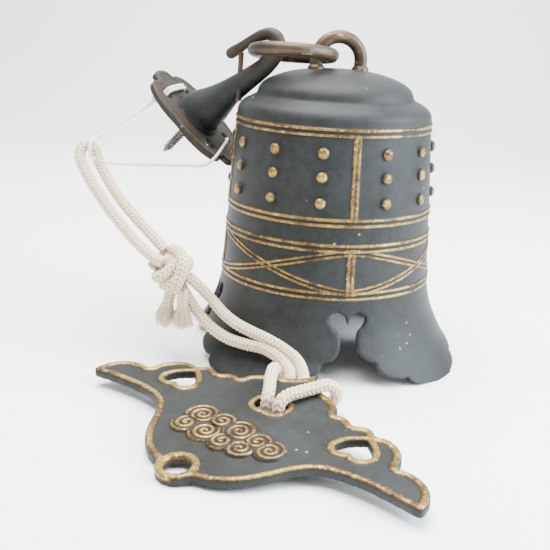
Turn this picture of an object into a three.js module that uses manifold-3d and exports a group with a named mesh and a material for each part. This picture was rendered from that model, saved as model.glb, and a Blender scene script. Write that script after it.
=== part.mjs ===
// Yard dinner bell: a cast temple-style bell with its clapper, hanging ring, hooked wall bracket,
// pull rope and cloud-shaped sail plate. Millimetres, +Z up.
// Modelled about the bell's own axis, then shifted so that the origin is under the middle of the whole.
import * as THREE from "three";
import { mergeVertices } from "three/addons/utils/BufferGeometryUtils.js";
import Module from "manifold-3d";

const wasm = await Module();
wasm.setup();

// ---------------------------------------------------------------- driving dimensions
const GAP = 0.3;                       // clearance between touching pieces
const ORIGIN_SHIFT = [25.61, 85.31, 0];  // bell axis, seen from the middle of the base
const deg = THREE.MathUtils.degToRad;

const BELL_TURN = deg(13.6);           // the four straps stand at this angle and every 90 degrees
const WALL = 4;
const DOME_TOP = 230;
const BANDS = [[192, 78], [126.6, 82.4], [107.5, 83.3], [71.3, 85.6]];   // upper edge, radius
const BAND_HEIGHT = 6.4;
const RELIEF = 1;
const BOSS_ROWS = [173.8, 156.4, 137.5];
const BOSS_COLUMNS = [-27.3, 0, 27.3];
const BOSS_RADIUS = 4.6;
const BOSS_PROUD = 4;
const BOSS_ROOT = 1.5;                 // how far a boss reaches into the wall

const ARCH = { x: 0.8, span: 17.9, bar: 5.1, springZ: 236.4 };
const SHANK = 4;
const RING = { centre: [-35.3, 0, 240.2], radius: 31, bar: 5.4, nearUp: deg(7.3), roll: deg(1.2) };

const PLATE_THICK = 5.5;
const ARM_PLAN = [0.912, -0.4104];     // the hook lies in this vertical plane
const BASE = [-114.9, 30, 183.7];      // middle of the wall plate's front face
const PLATE_NORMAL = new THREE.Vector3(0.6676, -0.2238, 0.7101).normalize();
const PLATE_LONG = new THREE.Vector3(0.6908, -0.1695, -0.7029);
const HOLE_AT = [27.8, 16.3];
const SCREW = { radius: 4, length: 42, pitch: 2.7, head: 14 };   // its head end is cast into the arm
const PIN = { low: [43.3, -7.5, 201], high: [40.5, 0, 238], radius: 2.2, head: 2.8 };

const SAIL = { origin: [-79.6, -245, 7.7], turn: deg(-34.97), slope: Math.atan(0.11), thick: 6.2 };

const ROPE = 3.8;                      // rope radius
const STRING = 1.3;                    // radius of the tie string

// ---------------------------------------------------------------- materials
const paint = new THREE.MeshStandardMaterial({ color: 0x5c6360, roughness: 0.55, metalness: 0.3 });
const bronze = new THREE.MeshStandardMaterial({ color: 0x6a5138, roughness: 0.45, metalness: 0.7 });
const steel = new THREE.MeshStandardMaterial({ color: 0x57524c, roughness: 0.5, metalness: 0.8 });
const cotton = new THREE.MeshStandardMaterial({ color: 0xebe1cd, roughness: 0.95, metalness: 0 });

// ---------------------------------------------------------------- helpers
const v3 = (a) => new THREE.Vector3(...a);
const onlyPosition = (geometry) => {
  const g = geometry.clone();
  g.deleteAttribute("normal");
  g.deleteAttribute("uv");
  return mergeVertices(g, 1e-4);
};

function solid(geometry) {
  const g = onlyPosition(geometry);
  const mesh = new wasm.Mesh({
    numProp: 3,
    vertProperties: Float32Array.from(g.attributes.position.array),
    triVerts: Uint32Array.from(g.index.array),
  });
  return new wasm.Manifold(mesh);
}

function geometryOf(manifold) {
  const mesh = manifold.getMesh();
  const g = new THREE.BufferGeometry();
  g.setAttribute("position", new THREE.BufferAttribute(Float32Array.from(mesh.vertProperties), 3));
  g.setIndex(new THREE.BufferAttribute(Uint32Array.from(mesh.triVerts), 1));
  g.computeVertexNormals();
  return g;
}

function piece(name, geometry, material, parent) {
  const mesh = new THREE.Mesh(geometry, material);
  mesh.name = name;
  parent.add(mesh);
  return mesh;
}

// A turned body about +Z from [radius, height] points.
function turned(points, segments = 32) {
  const g = new THREE.LatheGeometry(points.map(([r, z]) => new THREE.Vector2(r, z)), segments);
  g.rotateX(Math.PI / 2);
  return g;
}

// A plain rod or ring body between two heights, about +Z.
function rod(radius, z0, z1, segments = 24) {
  const g = new THREE.CylinderGeometry(radius, radius, z1 - z0, segments);
  g.rotateX(Math.PI / 2);
  g.translate(0, 0, (z0 + z1) / 2);
  return g;
}

const circleShape = (radius, sides) => {
  const at = (i) => new THREE.Vector2(
    radius * Math.cos((2 * Math.PI * i) / sides), radius * Math.sin((2 * Math.PI * i) / sides));
  return new THREE.Shape(Array.from({ length: sides }, (_, i) => at(i)));
};

// A round tube through the points, its ends flat.
function tube(points, radius, steps, sides = 8) {
  const path = new THREE.CatmullRomCurve3(points.map(v3), false, "centripetal");
  return new THREE.ExtrudeGeometry(circleShape(radius, sides), { extrudePath: path, steps });
}

const mirrored = (half) => [...half, ...half.slice(0, -1).reverse().map(([u, w]) => [-u, w])];

function splineShape(points, count) {
  const knots = points.map(([x, y]) => new THREE.Vector3(x, y, 0));
  const curve = new THREE.CatmullRomCurve3(knots, true, "centripetal");
  return curve.getPoints(count).slice(0, -1).map((p) => new THREE.Vector2(p.x, p.y));
}

function slab(outline, z0, z1) {
  const g = new THREE.ExtrudeGeometry(new THREE.Shape(outline), { depth: z1 - z0, bevelEnabled: false });
  g.translate(0, 0, z0);
  return g;
}

const counterClockwise = (points) => (THREE.ShapeUtils.area(points) < 0 ? [...points].reverse() : points);

// A group whose x, y and z axes are the given unit vectors.
function framed(origin, x, y, z) {
  const group = new THREE.Group();
  group.quaternion.setFromRotationMatrix(new THREE.Matrix4().makeBasis(x, y, z));
  group.position.copy(v3(origin));
  group.updateMatrix();
  return group;
}

// ---------------------------------------------------------------- bell
// The wall's outer radius at a height, without the relief.
const SKIRT = [[118.5, 0], [114.6, 4], [107.8, 12], [101.8, 20], [95.6, 32], [91, 42.5], [87.6, 55],
  [86, 64]];
const SHOULDER = [[77.4, 197], [75.6, 200.4], [72, 203.8], [63.4, 208.4], [62.4, 210.4],
  [60.6, 214.6], [56.8, 218.8], [50, 222.4], [41, 225.6], [30, 228], [16, 229.6], [0, DOME_TOP]];

function bandPoints() {
  const points = [];
  for (const [top, radius] of [...BANDS].reverse()) {
    const low = top - BAND_HEIGHT;
    points.push([radius, low], [radius + RELIEF, low + 0.8]);
    points.push([radius + RELIEF, top - 0.8], [radius, top]);
  }
  return points;
}

function bellBody() {
  const inner = [[0, DOME_TOP - WALL], [30, DOME_TOP - WALL - 2], [46, 220], [57, 211], [59.5, 205],
    [68, 202], [73.6, 196], [78.4, 126], [81.5, 68], [83.6, 55], [91.8, 32], [98, 20], [104, 12], [114.6, 0]];
  const section = [...SKIRT, ...bandPoints(), ...SHOULDER, ...inner, SKIRT[0]];
  return solid(turned(section, 36));
}

// Straps beside the bosses and in the lattice band: low height and radius, high height and radius.
const STRAPS = [[125, 82.5, 187, 78.4], [70, 85.6, 102, 83.6]];
const STRAP_HALF_WIDTH = 3.2;

// A low upright rib between two heights.
function strap(z0, r0, z1, r1) {
  const side = [[r0 - 2, z0], [r0 + RELIEF, z0], [r1 + RELIEF, z1], [r1 - 2, z1]];
  const g = slab(side.map(([x, y]) => new THREE.Vector2(x, y)), -STRAP_HALF_WIDTH, STRAP_HALF_WIDTH);
  g.rotateX(Math.PI / 2);
  return g;
}

function boss(height) {
  const [[high, highRadius], [low, lowRadius]] = BANDS;
  const wall = THREE.MathUtils.mapLinear(height, low, high, lowRadius, highRadius);
  const top = BOSS_RADIUS * 0.75;
  const g = turned([[0, -BOSS_ROOT], [BOSS_RADIUS, -BOSS_ROOT], [top, BOSS_PROUD], [0, BOSS_PROUD]], 6);
  g.rotateY(Math.PI / 2);
  g.translate(wall, 0, height);
  return g;
}

// Angle 0 looks along -Y, and grows towards +X.
const facing = (angle) => angle - Math.PI / 2;

// Half of the opening between two feet, as [degrees from the strap, height]: a boar's-eye heart,
// a narrow neck, then the scalloped edge of the foot down to the floor.
const CUT_HALF = [[0, 46], [2, 53], [5.6, 55.4], [8.6, 53], [9.4, 49.4], [7.6, 44.8], [5, 40.8],
  [4, 35.6], [4.1, 30], [5, 25.4], [7.4, 22], [12.2, 19.2], [12.3, 15.6], [14, 11.8], [18.4, 8.6],
  [23, 7.2], [25.4, 7.6], [26.4, 4.6], [29.6, 2.2], [34, 0.9], [38, -0.5], [38, -6]];
const CUT_INSIDE = 40;                 // the cutter starts at this radius, inside the skirt
const CUT_OUTSIDE = 170;               // and ends at this one, past the feet

function footCutter(turn) {
  const outline = mirrored([...CUT_HALF].reverse());
  const g = slab(counterClockwise(outline.map(([a, z]) => new THREE.Vector2(a, z))), 0, 1);
  const position = g.attributes.position;
  for (let i = 0; i < position.count; i += 1) {
    const angle = turn + deg(position.getX(i));
    const radius = position.getZ(i) > 0.5 ? CUT_OUTSIDE : CUT_INSIDE;
    position.setXYZ(i, radius * Math.sin(angle), -radius * Math.cos(angle), position.getY(i));
  }
  return solid(g);
}

function bellShell(parent) {
  let body = bellBody();
  for (let quarter = 0; quarter < 4; quarter += 1) {
    const turn = BELL_TURN + quarter * Math.PI / 2;
    for (const rib of STRAPS.map((ends) => strap(...ends))) {
      rib.rotateZ(facing(turn));
      body = body.add(solid(rib));
    }
    for (const height of BOSS_ROWS) {
      for (const column of BOSS_COLUMNS) {
        const stud = boss(height);
        stud.rotateZ(facing(turn + Math.PI / 4 + deg(column)));
        body = body.add(solid(stud));
      }
    }
    body = body.subtract(footCutter(turn));
  }
  for (const side of [-1, 1]) {
    const hole = rod(SHANK + GAP, 215, 240, 16);
    hole.translate(...archLeg(side));
    body = body.subtract(solid(hole));
  }
  piece("bell_shell", geometryOf(body), paint, parent);
}

// ---------------------------------------------------------------- crown loop and its fastening
const archAlong = [Math.cos(BELL_TURN), Math.sin(BELL_TURN)];
const archLeg = (side) => [ARCH.x + side * ARCH.span * archAlong[0], side * ARCH.span * archAlong[1], 0];

function crownLoop(parent) {
  const points = [];
  for (let i = 0; i <= 12; i += 1) {
    const a = Math.PI * (1 - i / 12);
    points.push([ARCH.span * Math.cos(a), 0, ARCH.springZ + ARCH.span * Math.sin(a)]);
  }
  const low = DOME_TOP - 1;
  const path = [[-ARCH.span, 0, low], [-ARCH.span, 0, low + 2.4], ...points,
    [ARCH.span, 0, low + 2.4], [ARCH.span, 0, low]];
  let loop = solid(tube(path, ARCH.bar, 22, 10));
  const seat = turned([[0, 200], ...SHOULDER.slice(3).map(([r, z]) => [r, z + GAP])], 56);
  for (const side of [-1, 1]) {
    const foot = turned([[0, 226], [6.8, 226], [6.8, 231], [5.3, 232.4], [0, 232.4]], 16);
    const shank = rod(SHANK, 207, 231.5, 16);
    foot.translate(side * ARCH.span, 0, 0);
    shank.translate(side * ARCH.span, 0, 0);
    loop = loop.add(solid(foot)).subtract(solid(seat)).add(solid(shank));
  }
  const g = geometryOf(loop);
  g.rotateZ(BELL_TURN);
  g.translate(ARCH.x, 0, 0);
  piece("crown_loop", g, bronze, parent);
}

const STRAP_Z = [218.2, 222.2];

function hangerStrap(parent) {
  const bar = slab(roundEndedBar(27, 8), ...STRAP_Z);
  let body = solid(bar);
  const tab = [[-6, 204], [6, 204], [6, 219], [-6, 219]];
  const lug = slab(tab.map(([x, y]) => new THREE.Vector2(x, y)), -2, 2);
  lug.rotateX(Math.PI / 2);
  body = body.add(solid(lug));
  const eye = rod(3.4, -5, 5, 16);
  eye.rotateX(Math.PI / 2);
  eye.translate(0, 0, 210);
  body = body.subtract(solid(eye));
  for (const side of [-1, 1]) {
    const hole = rod(SHANK + GAP, 210, 230, 16);
    hole.translate(side * ARCH.span, 0, 0);
    body = body.subtract(solid(hole));
  }
  const g = geometryOf(body);
  g.rotateZ(BELL_TURN);
  g.translate(ARCH.x, 0, 0);
  piece("hanger_strap", g, steel, parent);
}

// A flat bar with half-round ends.
function roundEndedBar(half, width) {
  const bar = new THREE.Shape();
  bar.absarc(half - width, 0, width, -Math.PI / 2, Math.PI / 2, false);
  bar.absarc(width - half, 0, width, Math.PI / 2, 1.5 * Math.PI, false);
  return bar.getPoints(8);
}

function loopFasteners(parent) {
  for (const [side, label] of [[-1, "left"], [1, "right"]]) {
    const [x, y] = archLeg(side);
    const washer = turned([[SHANK + GAP, 216.3], [7.6, 216.3], [7.6, 217.9], [SHANK + GAP, 217.9],
      [SHANK + GAP, 216.3]], 20);
    const nut = solid(rod(7.4, 209.6, 216, 6)).subtract(solid(rod(SHANK + GAP, 205, 220, 16)));
    piece(`loop_washer_${label}`, washer, steel, parent).position.set(x, y, 0);
    piece(`loop_nut_${label}`, geometryOf(nut), steel, parent).position.set(x, y, 0);
  }
}

// ---------------------------------------------------------------- clapper
const LINK = { bar: 1.7, bend: 6, top: 208.8, drop: 16 };
const CLAPPER = { eye: 4.6, rod: 3, ballZ: 86, ball: 17, tip: 61 };

// A chain link standing in the plane across the lug: a ring with its lower half let down.
function clapperLink(parent) {
  const g = new THREE.TorusGeometry(LINK.bend, LINK.bar, 8, 18);
  g.rotateY(Math.PI / 2);
  const position = g.attributes.position;
  for (let i = 0; i < position.count; i += 1) {
    const z = position.getZ(i);
    position.setZ(i, z < -0.01 ? z - (LINK.drop - 2 * LINK.bend) : z);
  }
  g.translate(0, 0, LINK.top - LINK.bend);
  piece("clapper_link", g, steel, clapperGroup(parent));
}

// The crown loop's own frame on the bell axis: x along the loop, z up.
function clapperGroup(parent) {
  const group = new THREE.Group();
  group.position.set(ARCH.x, 0, 0);
  group.rotation.z = BELL_TURN;
  parent.add(group);
  return group;
}

function clapper(parent) {
  const eyeZ = LINK.top - LINK.drop;
  const ring = new THREE.TorusGeometry(CLAPPER.eye, 1.9, 8, 18);
  ring.rotateX(Math.PI / 2);
  ring.translate(0, 0, eyeZ - 0.9);
  const low = eyeZ - CLAPPER.eye - 0.9;
  const shank = rod(CLAPPER.rod, CLAPPER.tip + 4, low, 16);
  const whole = solid(ring).add(solid(shank));
  const ballTop = CLAPPER.ballZ + CLAPPER.ball;
  const ballLow = CLAPPER.ballZ - CLAPPER.ball;
  const bored = (g) => solid(g).subtract(solid(rod(CLAPPER.rod + GAP, 0, 300, 16)));
  const ball = bored(new THREE.SphereGeometry(CLAPPER.ball, 18, 10).rotateX(Math.PI / 2)
    .translate(0, 0, CLAPPER.ballZ));
  const group = clapperGroup(parent);
  piece("clapper_rod", geometryOf(whole), steel, group);
  piece("clapper_ball", geometryOf(ball), bronze, group);
  piece("clapper_nut", geometryOf(bored(rod(5.6, ballTop + 0.1, ballTop + 5, 6))), steel, group);
  const lowerNut = bored(rod(5.6, ballLow - 5, ballLow - 0.1, 6));
  piece("clapper_lower_nut", geometryOf(lowerNut), steel, group);
}

// ---------------------------------------------------------------- hanging ring
function linkRing(parent) {
  const g = new THREE.TorusGeometry(RING.radius, RING.bar, 10, 32);
  g.rotateX(-RING.nearUp);
  g.rotateY(RING.roll);
  g.translate(...RING.centre);
  piece("link_ring", g, bronze, parent);
}

// ---------------------------------------------------------------- wall bracket
// Centreline of the hook in its own vertical plane, as [distance from the base, height, radius].
const ARM = [[13.6, 193.2, 16.2], [28, 204, 11.4], [41.1, 213.2, 9.3], [50.2, 219.4, 8.4],
  [63.5, 229.2, 7.3], [70.5, 237.1, 6.9], [73.7, 244.9, 6.3], [72, 250.9, 5.8], [66.5, 253.7, 5.2],
  [59.3, 252.6, 4.5], [51.6, 249.5, 3.8], [43.6, 244.6, 3.9], [35.4, 239.6, 4.2], [30.1, 236.4, 4.2]];

function hookArm(parent) {
  const normal = new THREE.Vector2(PLATE_NORMAL.dot(v3([...ARM_PLAN, 0])), PLATE_NORMAL.z).normalize();
  const onNormal = (along) => [normal.x * along, BASE[2] + normal.y * along];
  const route = [onNormal(-4), onNormal(0), onNormal(5), ...ARM.map(([s, z]) => [s, z])];
  const radii = [21, 20, 18.4, ...ARM.map((row) => row[2])];
  const knots = route.map(([s, z]) => new THREE.Vector3(s, z, 0));
  const curve = new THREE.CatmullRomCurve3(knots, false, "centripetal");
  const length = curve.getLength();
  const places = route.map(([s, z]) => lengthTo(curve, s, z));
  const profile = [[0, 0], [radii[0], 0]];
  for (let i = 1; i < route.length; i += 1) {
    profile.push([(radii[i] + radii[i - 1]) / 2, (places[i] + places[i - 1]) / 2], [radii[i], places[i]]);
  }
  profile.push([radii.at(-1) * 0.75, length + 2.4], [0, length + 3.4]);
  const group = hookGroup(parent);
  const arm = bentPastEnd(turned(profile, 14), curve, length);
  const cutters = [keeperPin(PIN.radius + GAP, GAP)];
  const toHook = group.matrix.clone().invert().multiply(plateGroup(new THREE.Group()).matrix);
  const wallSide = slab(slotPoints(70, 60, 0, 0), -30, GAP);
  const screwBore = rod(SCREW.radius + GAP, -5, SCREW.head + GAP, 16);
  cutters.push(wallSide.applyMatrix4(toHook), screwBore.applyMatrix4(toHook));
  let body = solid(arm);
  for (const cutter of cutters) body = body.subtract(solid(cutter));
  piece("hook_arm", geometryOf(body), paint, group);
  piece("keeper_pin", keeperPin(PIN.radius, 0), bronze, group);
}

// The pin that closes the hook, leaning from the tip of the hook to the near side of the arm.
function keeperPin(radius, extra) {
  const low = v3(PIN.low);
  const axis = v3(PIN.high).sub(low);
  const length = axis.length();
  const head = radius - PIN.radius + PIN.head;
  const end = length + extra;
  const g = turned([[0, -1], [head * 0.8, -1], [head, 0], [head, 1.2], [radius, 1.4], [radius, end], [0, end]], 12);
  const turn = new THREE.Quaternion().setFromUnitVectors(new THREE.Vector3(0, 0, 1), axis.normalize());
  g.applyQuaternion(turn);
  return g.translate(low.x, low.y, low.z);
}

// The hook's vertical plane as a group: x runs from the base to the bell, z is up.
function hookGroup(parent) {
  const x = v3([...ARM_PLAN, 0]).normalize();
  const across = new THREE.Vector3(-x.y, x.x, 0);
  const group = framed([BASE[0], BASE[1], 0], x, across, new THREE.Vector3(0, 0, 1));
  parent.add(group);
  return group;
}

function lengthTo(curve, s, z) {
  const target = new THREE.Vector3(s, z, 0);
  let best = [Infinity, 0];
  for (let i = 0; i <= 800; i += 1) {
    const distance = curve.getPointAt(i / 800).distanceTo(target);
    if (distance < best[0]) best = [distance, (i / 800) * curve.getLength()];
  }
  return best[1];
}

// Bends a turned body along a curve; what stands past the curve's end runs straight on.
function bentPastEnd(geometry, curve, length) {
  const position = geometry.attributes.position;
  for (let i = 0; i < position.count; i += 1) {
    const along = position.getZ(i);
    const t = THREE.MathUtils.clamp(along / length, 0, 1);
    const past = Math.max(0, along - length);
    const at = curve.getPointAt(t);
    const tangent = curve.getTangentAt(t);
    const across = position.getX(i);
    position.setXYZ(i, at.x + across * tangent.y + past * tangent.x, position.getY(i),
      at.y - across * tangent.x + past * tangent.y);
  }
  return geometry;
}

// Quarter of the wall plate's outline, [along, across]: a barrel with a small lobe at each end.
const PLATE_QUARTER = [[51, 0], [50.2, 6], [47.6, 10.8], [42.2, 13.2], [42.6, 19], [39.4, 26],
  [32, 31.6], [22, 35.2], [11, 36.4], [0, 35.6]];

function platePoints() {
  const upper = [...PLATE_QUARTER, ...PLATE_QUARTER.slice(0, -1).reverse().map(([a, b]) => [-a, b])];
  const lower = upper.slice(1, -1).reverse().map(([a, b]) => [a, -b]);
  return [...upper, ...lower].map(([a, b]) => new THREE.Vector2(a, b));
}

// Upright heart of the given half width, its cusp up: an old boar's-eye motif.
const HEART_HALF = [[0, -1], [0.46, -0.64], [0.86, -0.2], [1, 0.24], [0.84, 0.56], [0.5, 0.68],
  [0.18, 0.58], [0, 0.4]];

function heartPoints(halfWidth, x, y, turn = 0) {
  const whole = [...HEART_HALF, ...HEART_HALF.slice(1, -1).reverse().map(([a, b]) => [-a, b])];
  const rotate = new THREE.Vector2();
  return whole.map(([a, b]) => new THREE.Vector2(a * halfWidth, b * halfWidth)
    .rotateAround(rotate, turn).add(new THREE.Vector2(x, y)));
}

function slotPoints(halfLength, halfWidth, x, y) {
  const shape = new THREE.Shape();
  shape.absarc(x + halfLength - halfWidth, y, halfWidth, -Math.PI / 2, Math.PI / 2, false);
  shape.absarc(x - halfLength + halfWidth, y, halfWidth, Math.PI / 2, 1.5 * Math.PI, false);
  return shape.getPoints(5);
}

function wallPlate(parent) {
  let body = solid(slab(counterClockwise(platePoints()), -PLATE_THICK, 0));
  const cutters = [rod(SCREW.radius + GAP, -20, 20, 16)];
  for (const end of [-1, 1]) {
    cutters.push(slab(counterClockwise(slotPoints(5.6, 2.6, end * HOLE_AT[0], HOLE_AT[1])), -20, 20));
    cutters.push(slab(counterClockwise(heartPoints(5.4, end * HOLE_AT[0], -HOLE_AT[1])), -20, 20));
  }
  const group = plateGroup(parent);
  const string = tube(tieRoute(), STRING + GAP, TIE_STEPS, 8);
  cutters.push(string.applyMatrix4(group.matrix.clone().invert()));
  for (const cutter of cutters) body = body.subtract(solid(cutter));
  piece("wall_plate", geometryOf(body), paint, group);
  lagScrew(group);
}

// The wall plate as a group: x along it, z out of its front face.
function plateGroup(parent) {
  const z = PLATE_NORMAL.clone();
  const x = PLATE_LONG.clone().addScaledVector(z, -PLATE_LONG.dot(z)).normalize();
  const group = framed(BASE, x, new THREE.Vector3().crossVectors(z, x), z);
  parent.add(group);
  return group;
}

function lagScrew(group) {
  const end = -PLATE_THICK - SCREW.length;
  const profile = [[0, end], [1.2, end + 2]];
  const turns = Math.floor((SCREW.length - 5) / SCREW.pitch);
  for (let i = 0; i < turns; i += 1) {
    const z = end + 3.4 + i * SCREW.pitch;
    const crest = Math.min(SCREW.radius, 2.4 + i * 0.55);
    profile.push([crest, z], [crest, z + 0.5], [crest * 0.74, z + 1.5]);
  }
  profile.push([3.4, -PLATE_THICK], [SCREW.radius, -PLATE_THICK + 0.5]);
  profile.push([SCREW.radius, SCREW.head], [0, SCREW.head]);
  piece("lag_screw", turned(profile, 10), steel, group);
}

// ---------------------------------------------------------------- sail plate
// Half of the cloud outline, [across, towards the peak], from the ring boss round to the peak.
const SAIL_HALF = [[0, -13.6], [7.5, -11.6], [12.6, -6.2], [15.4, -2.8], [20, -1.4], [26, 0.6],
  [33.5, 5], [40.5, 11.2], [47, 19.2], [52.2, 27.6], [57, 35.6], [62, 42], [67.6, 46.8], [74.4, 50],
  [83, 51.8], [96, 52.8], [110, 52.4], [123, 51.2], [136.6, 50.4], [137.2, 57], [134.6, 64.8],
  [129, 71.6], [121.6, 75.6], [113.4, 77.2], [105.6, 77.2], [103.4, 85], [99, 92], [92.4, 97],
  [84.8, 99.2], [77.4, 98], [72.6, 101.8], [66.6, 102.8], [57.8, 100], [53, 103.4], [47.4, 104.8],
  [41, 104.2], [38.8, 110.4], [33.4, 115.4], [25, 119.6], [14, 123.4], [6.4, 128.6], [2, 135],
  [0, 142]];
const SAIL_HEART = { x: 74.8, y: 78.6, half: 12.4 };
const SAIL_EYE = { y: 88.2, halfWidth: 11.5, halfHeight: 7.8 };

function sailGroup(parent) {
  const across = new THREE.Vector3(Math.cos(SAIL.turn), Math.sin(SAIL.turn), 0);
  const level = new THREE.Vector3(-across.y, across.x, 0);
  const up = level.clone().multiplyScalar(Math.cos(SAIL.slope));
  up.z = Math.sin(SAIL.slope);
  const group = framed(SAIL.origin, across, up, new THREE.Vector3().crossVectors(across, up));
  parent.add(group);
  return group;
}

function sailPlate(parent) {
  const outline = mirrored(SAIL_HALF).map(([u, w]) => new THREE.Vector2(u, w)).slice(0, -1);
  let body = solid(slab(counterClockwise(outline), -SAIL.thick, 0));
  const swirl = splineShape([[-40, 50], [-33, 60.6], [-16, 58], [2, 59], [20, 56.4], [36, 54.6], [44, 44],
    [34, 34], [21, 27], [0, 28.8], [-22, 29.6], [-34, 40]], 28);
  body = body.add(solid(slab(counterClockwise(swirl), -1, 2.6)));
  const cutters = [rod(8.6, -20, 20, 20), slab(counterClockwise(eyePoints()), -20, 20)];
  for (const side of [-1, 1]) {
    const heart = heartPoints(SAIL_HEART.half, side * SAIL_HEART.x, SAIL_HEART.y, Math.PI);
    cutters.push(slab(counterClockwise(heart), -20, 20));
  }
  const group = sailGroup(parent);
  const rope = tube(pullRoute(), ROPE + 2 * GAP, PULL_STEPS, 8);
  cutters.push(rope.applyMatrix4(group.matrix.clone().invert()));
  for (const cutter of cutters) body = body.subtract(solid(cutter));
  piece("sail_plate", geometryOf(body), paint, group);
}

// Rounded eye, nearer a rectangle than an oval, that takes two strands of the rope side by side.
function eyePoints() {
  const squared = (value) => Math.sign(value) * Math.abs(value) ** (2 / 3);
  return Array.from({ length: 24 }, (_, i) => {
    const a = (2 * Math.PI * i) / 24;
    const across = SAIL_EYE.halfWidth * squared(Math.cos(a));
    return new THREE.Vector2(across, SAIL_EYE.y + SAIL_EYE.halfHeight * squared(Math.sin(a)));
  });
}

// ---------------------------------------------------------------- ropes
// Points given on the sail plate, [across, towards the peak, above its face], as bell coordinates.
function onSail(points) {
  const group = sailGroup(new THREE.Group());
  group.updateMatrixWorld();
  return points.map((p) => v3(p).applyMatrix4(group.matrixWorld).toArray());
}

const PULL_A = [[-112, -73, 78.5], [-98, -67, 65], [-87.5, -61.5, 52], [-76, -68, 42.5], [-64, -78, 38],
  [-52.5, -85.2, 35.4], [-37.1, -94.6, 32.6], [-24, -102.4, 28.4], [-14.5, -112, 24.4]];
const HITCH = [[-5.4, 131, -4.4], [-4.4, 124, -10], [-0.6, 112, -11], [3.6, 99, -10.8], [5, 91.6, -8],
  [5.1, 89.9, -3.1], [5.3, 91.6, 2.2], [6.6, 98, 4.7], [10.4, 108, 4.7], [15, 118, 4.8],
  [19.6, 126.6, 4.4], [22.4, 131.4, -1], [21, 134, -8.6], [14, 136, -15], [2, 136.6, -18],
  [-11, 136, -18.2], [-22.6, 134, -14.2], [-29, 130.4, -6.6], [-28.4, 126.6, 2], [-24, 119.6, 5],
  [-17.6, 109, 4.9], [-9.4, 98, 4.7], [-5.6, 91.6, 2.2], [-5.1, 89.9, -3.1], [-5.8, 91.6, -8],
  [-8.6, 100, -10.8], [-12.4, 112, -11], [-15.4, 122.6, -9.6], [-17, 130.6, -3]];
const PULL_B = [[-24.4, -111.4, 21.8], [-31, -104, 24.6], [-42, -95.6, 26.6], [-56.8, -88, 26],
  [-72, -78.4, 26.4], [-86, -68.6, 31], [-97.6, -63.4, 41], [-106, -64.6, 54], [-113, -68, 69]];
const LOOP = [[-121, -78.6, 83.4], [-129.4, -72, 84.5], [-146, -61, 93], [-165, -50, 108.4],
  [-180.4, -42, 124.6], [-194.4, -35.4, 143.4], [-199.4, -31.6, 154.6], [-196.8, -27.4, 162],
  [-190.6, -22.6, 159.4], [-186, -23.6, 148.6], [-173.4, -32, 131], [-160, -40, 117], [-147, -47, 106],
  [-134, -55, 96.6], [-123, -63, 88.6]];
const TAILS = [[[-117, -70, 62], [-120, -67, 50], [-122.4, -64, 38], [-124, -61.6, 26]],
  [[-107.6, -75, 63], [-108.4, -71.4, 50], [-107.4, -68, 38], [-106, -66, 25.4]]];
// Tie string: on the wall plate, [along, across, above its face], twice through the upper holes, down
// behind the plate and out through a lower hole; then free to the bight of the rope, round it, and back.
const TIE_ON_PLATE = [[-30.4, -20, -8.6], [-30.8, -16.6, -7], [-30.8, -15.4, -2.6], [-30.8, -13.4, 1],
  [-30.8, -9, 2], [-30.8, 9, 2], [-30.8, 13.6, 1], [-30.8, 15.8, -2.6], [-30.4, 14.6, -7.6],
  [-29.6, 6, -7.6], [-28.8, -6, -7.6], [-28.2, -14, -7.6], [-28, -15.6, -2.6], [-28, -13.2, 1],
  [-28, -9, 2], [-28, 9, 2], [-28, 13.8, 1], [-28, 16.2, -2.6], [-25, 18.6, -7.6], [-8, 20, -7.6],
  [12, 19.4, -7.6], [25, 18, -7.4], [28.2, 15.8, -2.6], [29.4, 12.4, 1.2], [31.4, 6, 2], [35, -8, 2],
  [38.2, -20, 2], [40.6, -30, 1], [41, -34, -3.4], [39.6, -35, -9]];
const TIE_FREE = [[-112, -9.6, 147.6], [-140, -13.2, 147.2], [-166, -16.6, 147], [-182.4, -19, 148],
  [-188.6, -26.4, 150.6], [-190.4, -32.6, 155], [-191, -31, 163.4], [-189.4, -24.6, 167.4],
  [-184.6, -18.8, 169.6], [-175.5, -10.4, 176.4], [-163, 1.2, 185.4], [-154, 9.6, 191.8],
  [-150.4, 13, 194.8]];
const TIE_KNOT = [-29.6, -24, -9.4];
const TIE_KNOT_RADIUS = 3.4;
const TIE_STEPS = 80;
const KNOT = { centre: [-116.5, -70.6, 77], half: [13.2, 10.6, 14.6] };

function fromPlate(points) {
  const matrix = plateGroup(new THREE.Group()).matrix;
  return points.map((p) => v3(p).applyMatrix4(matrix).toArray());
}

const tieRoute = () => [...fromPlate(TIE_ON_PLATE), ...TIE_FREE];

function tieString(parent) {
  const route = tieRoute();
  piece("tie_string", tube(route, STRING, TIE_STEPS, 8), cotton, parent);
  const knot = new THREE.SphereGeometry(TIE_KNOT_RADIUS, 12, 8).translate(...fromPlate([TIE_KNOT])[0]);
  let body = solid(knot);
  for (const end of [route.slice(0, 3), route.slice(-3)]) {
    body = body.subtract(solid(tube(end, STRING + 2 * GAP, 8, 6)));
  }
  piece("tie_knot", geometryOf(body), cotton, parent);
}

const pullRoute = () => [...PULL_A, ...onSail(HITCH), ...PULL_B];
const PULL_STEPS = 78;
const LOOP_STEPS = 36;
const TAIL_STEPS = 6;

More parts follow.
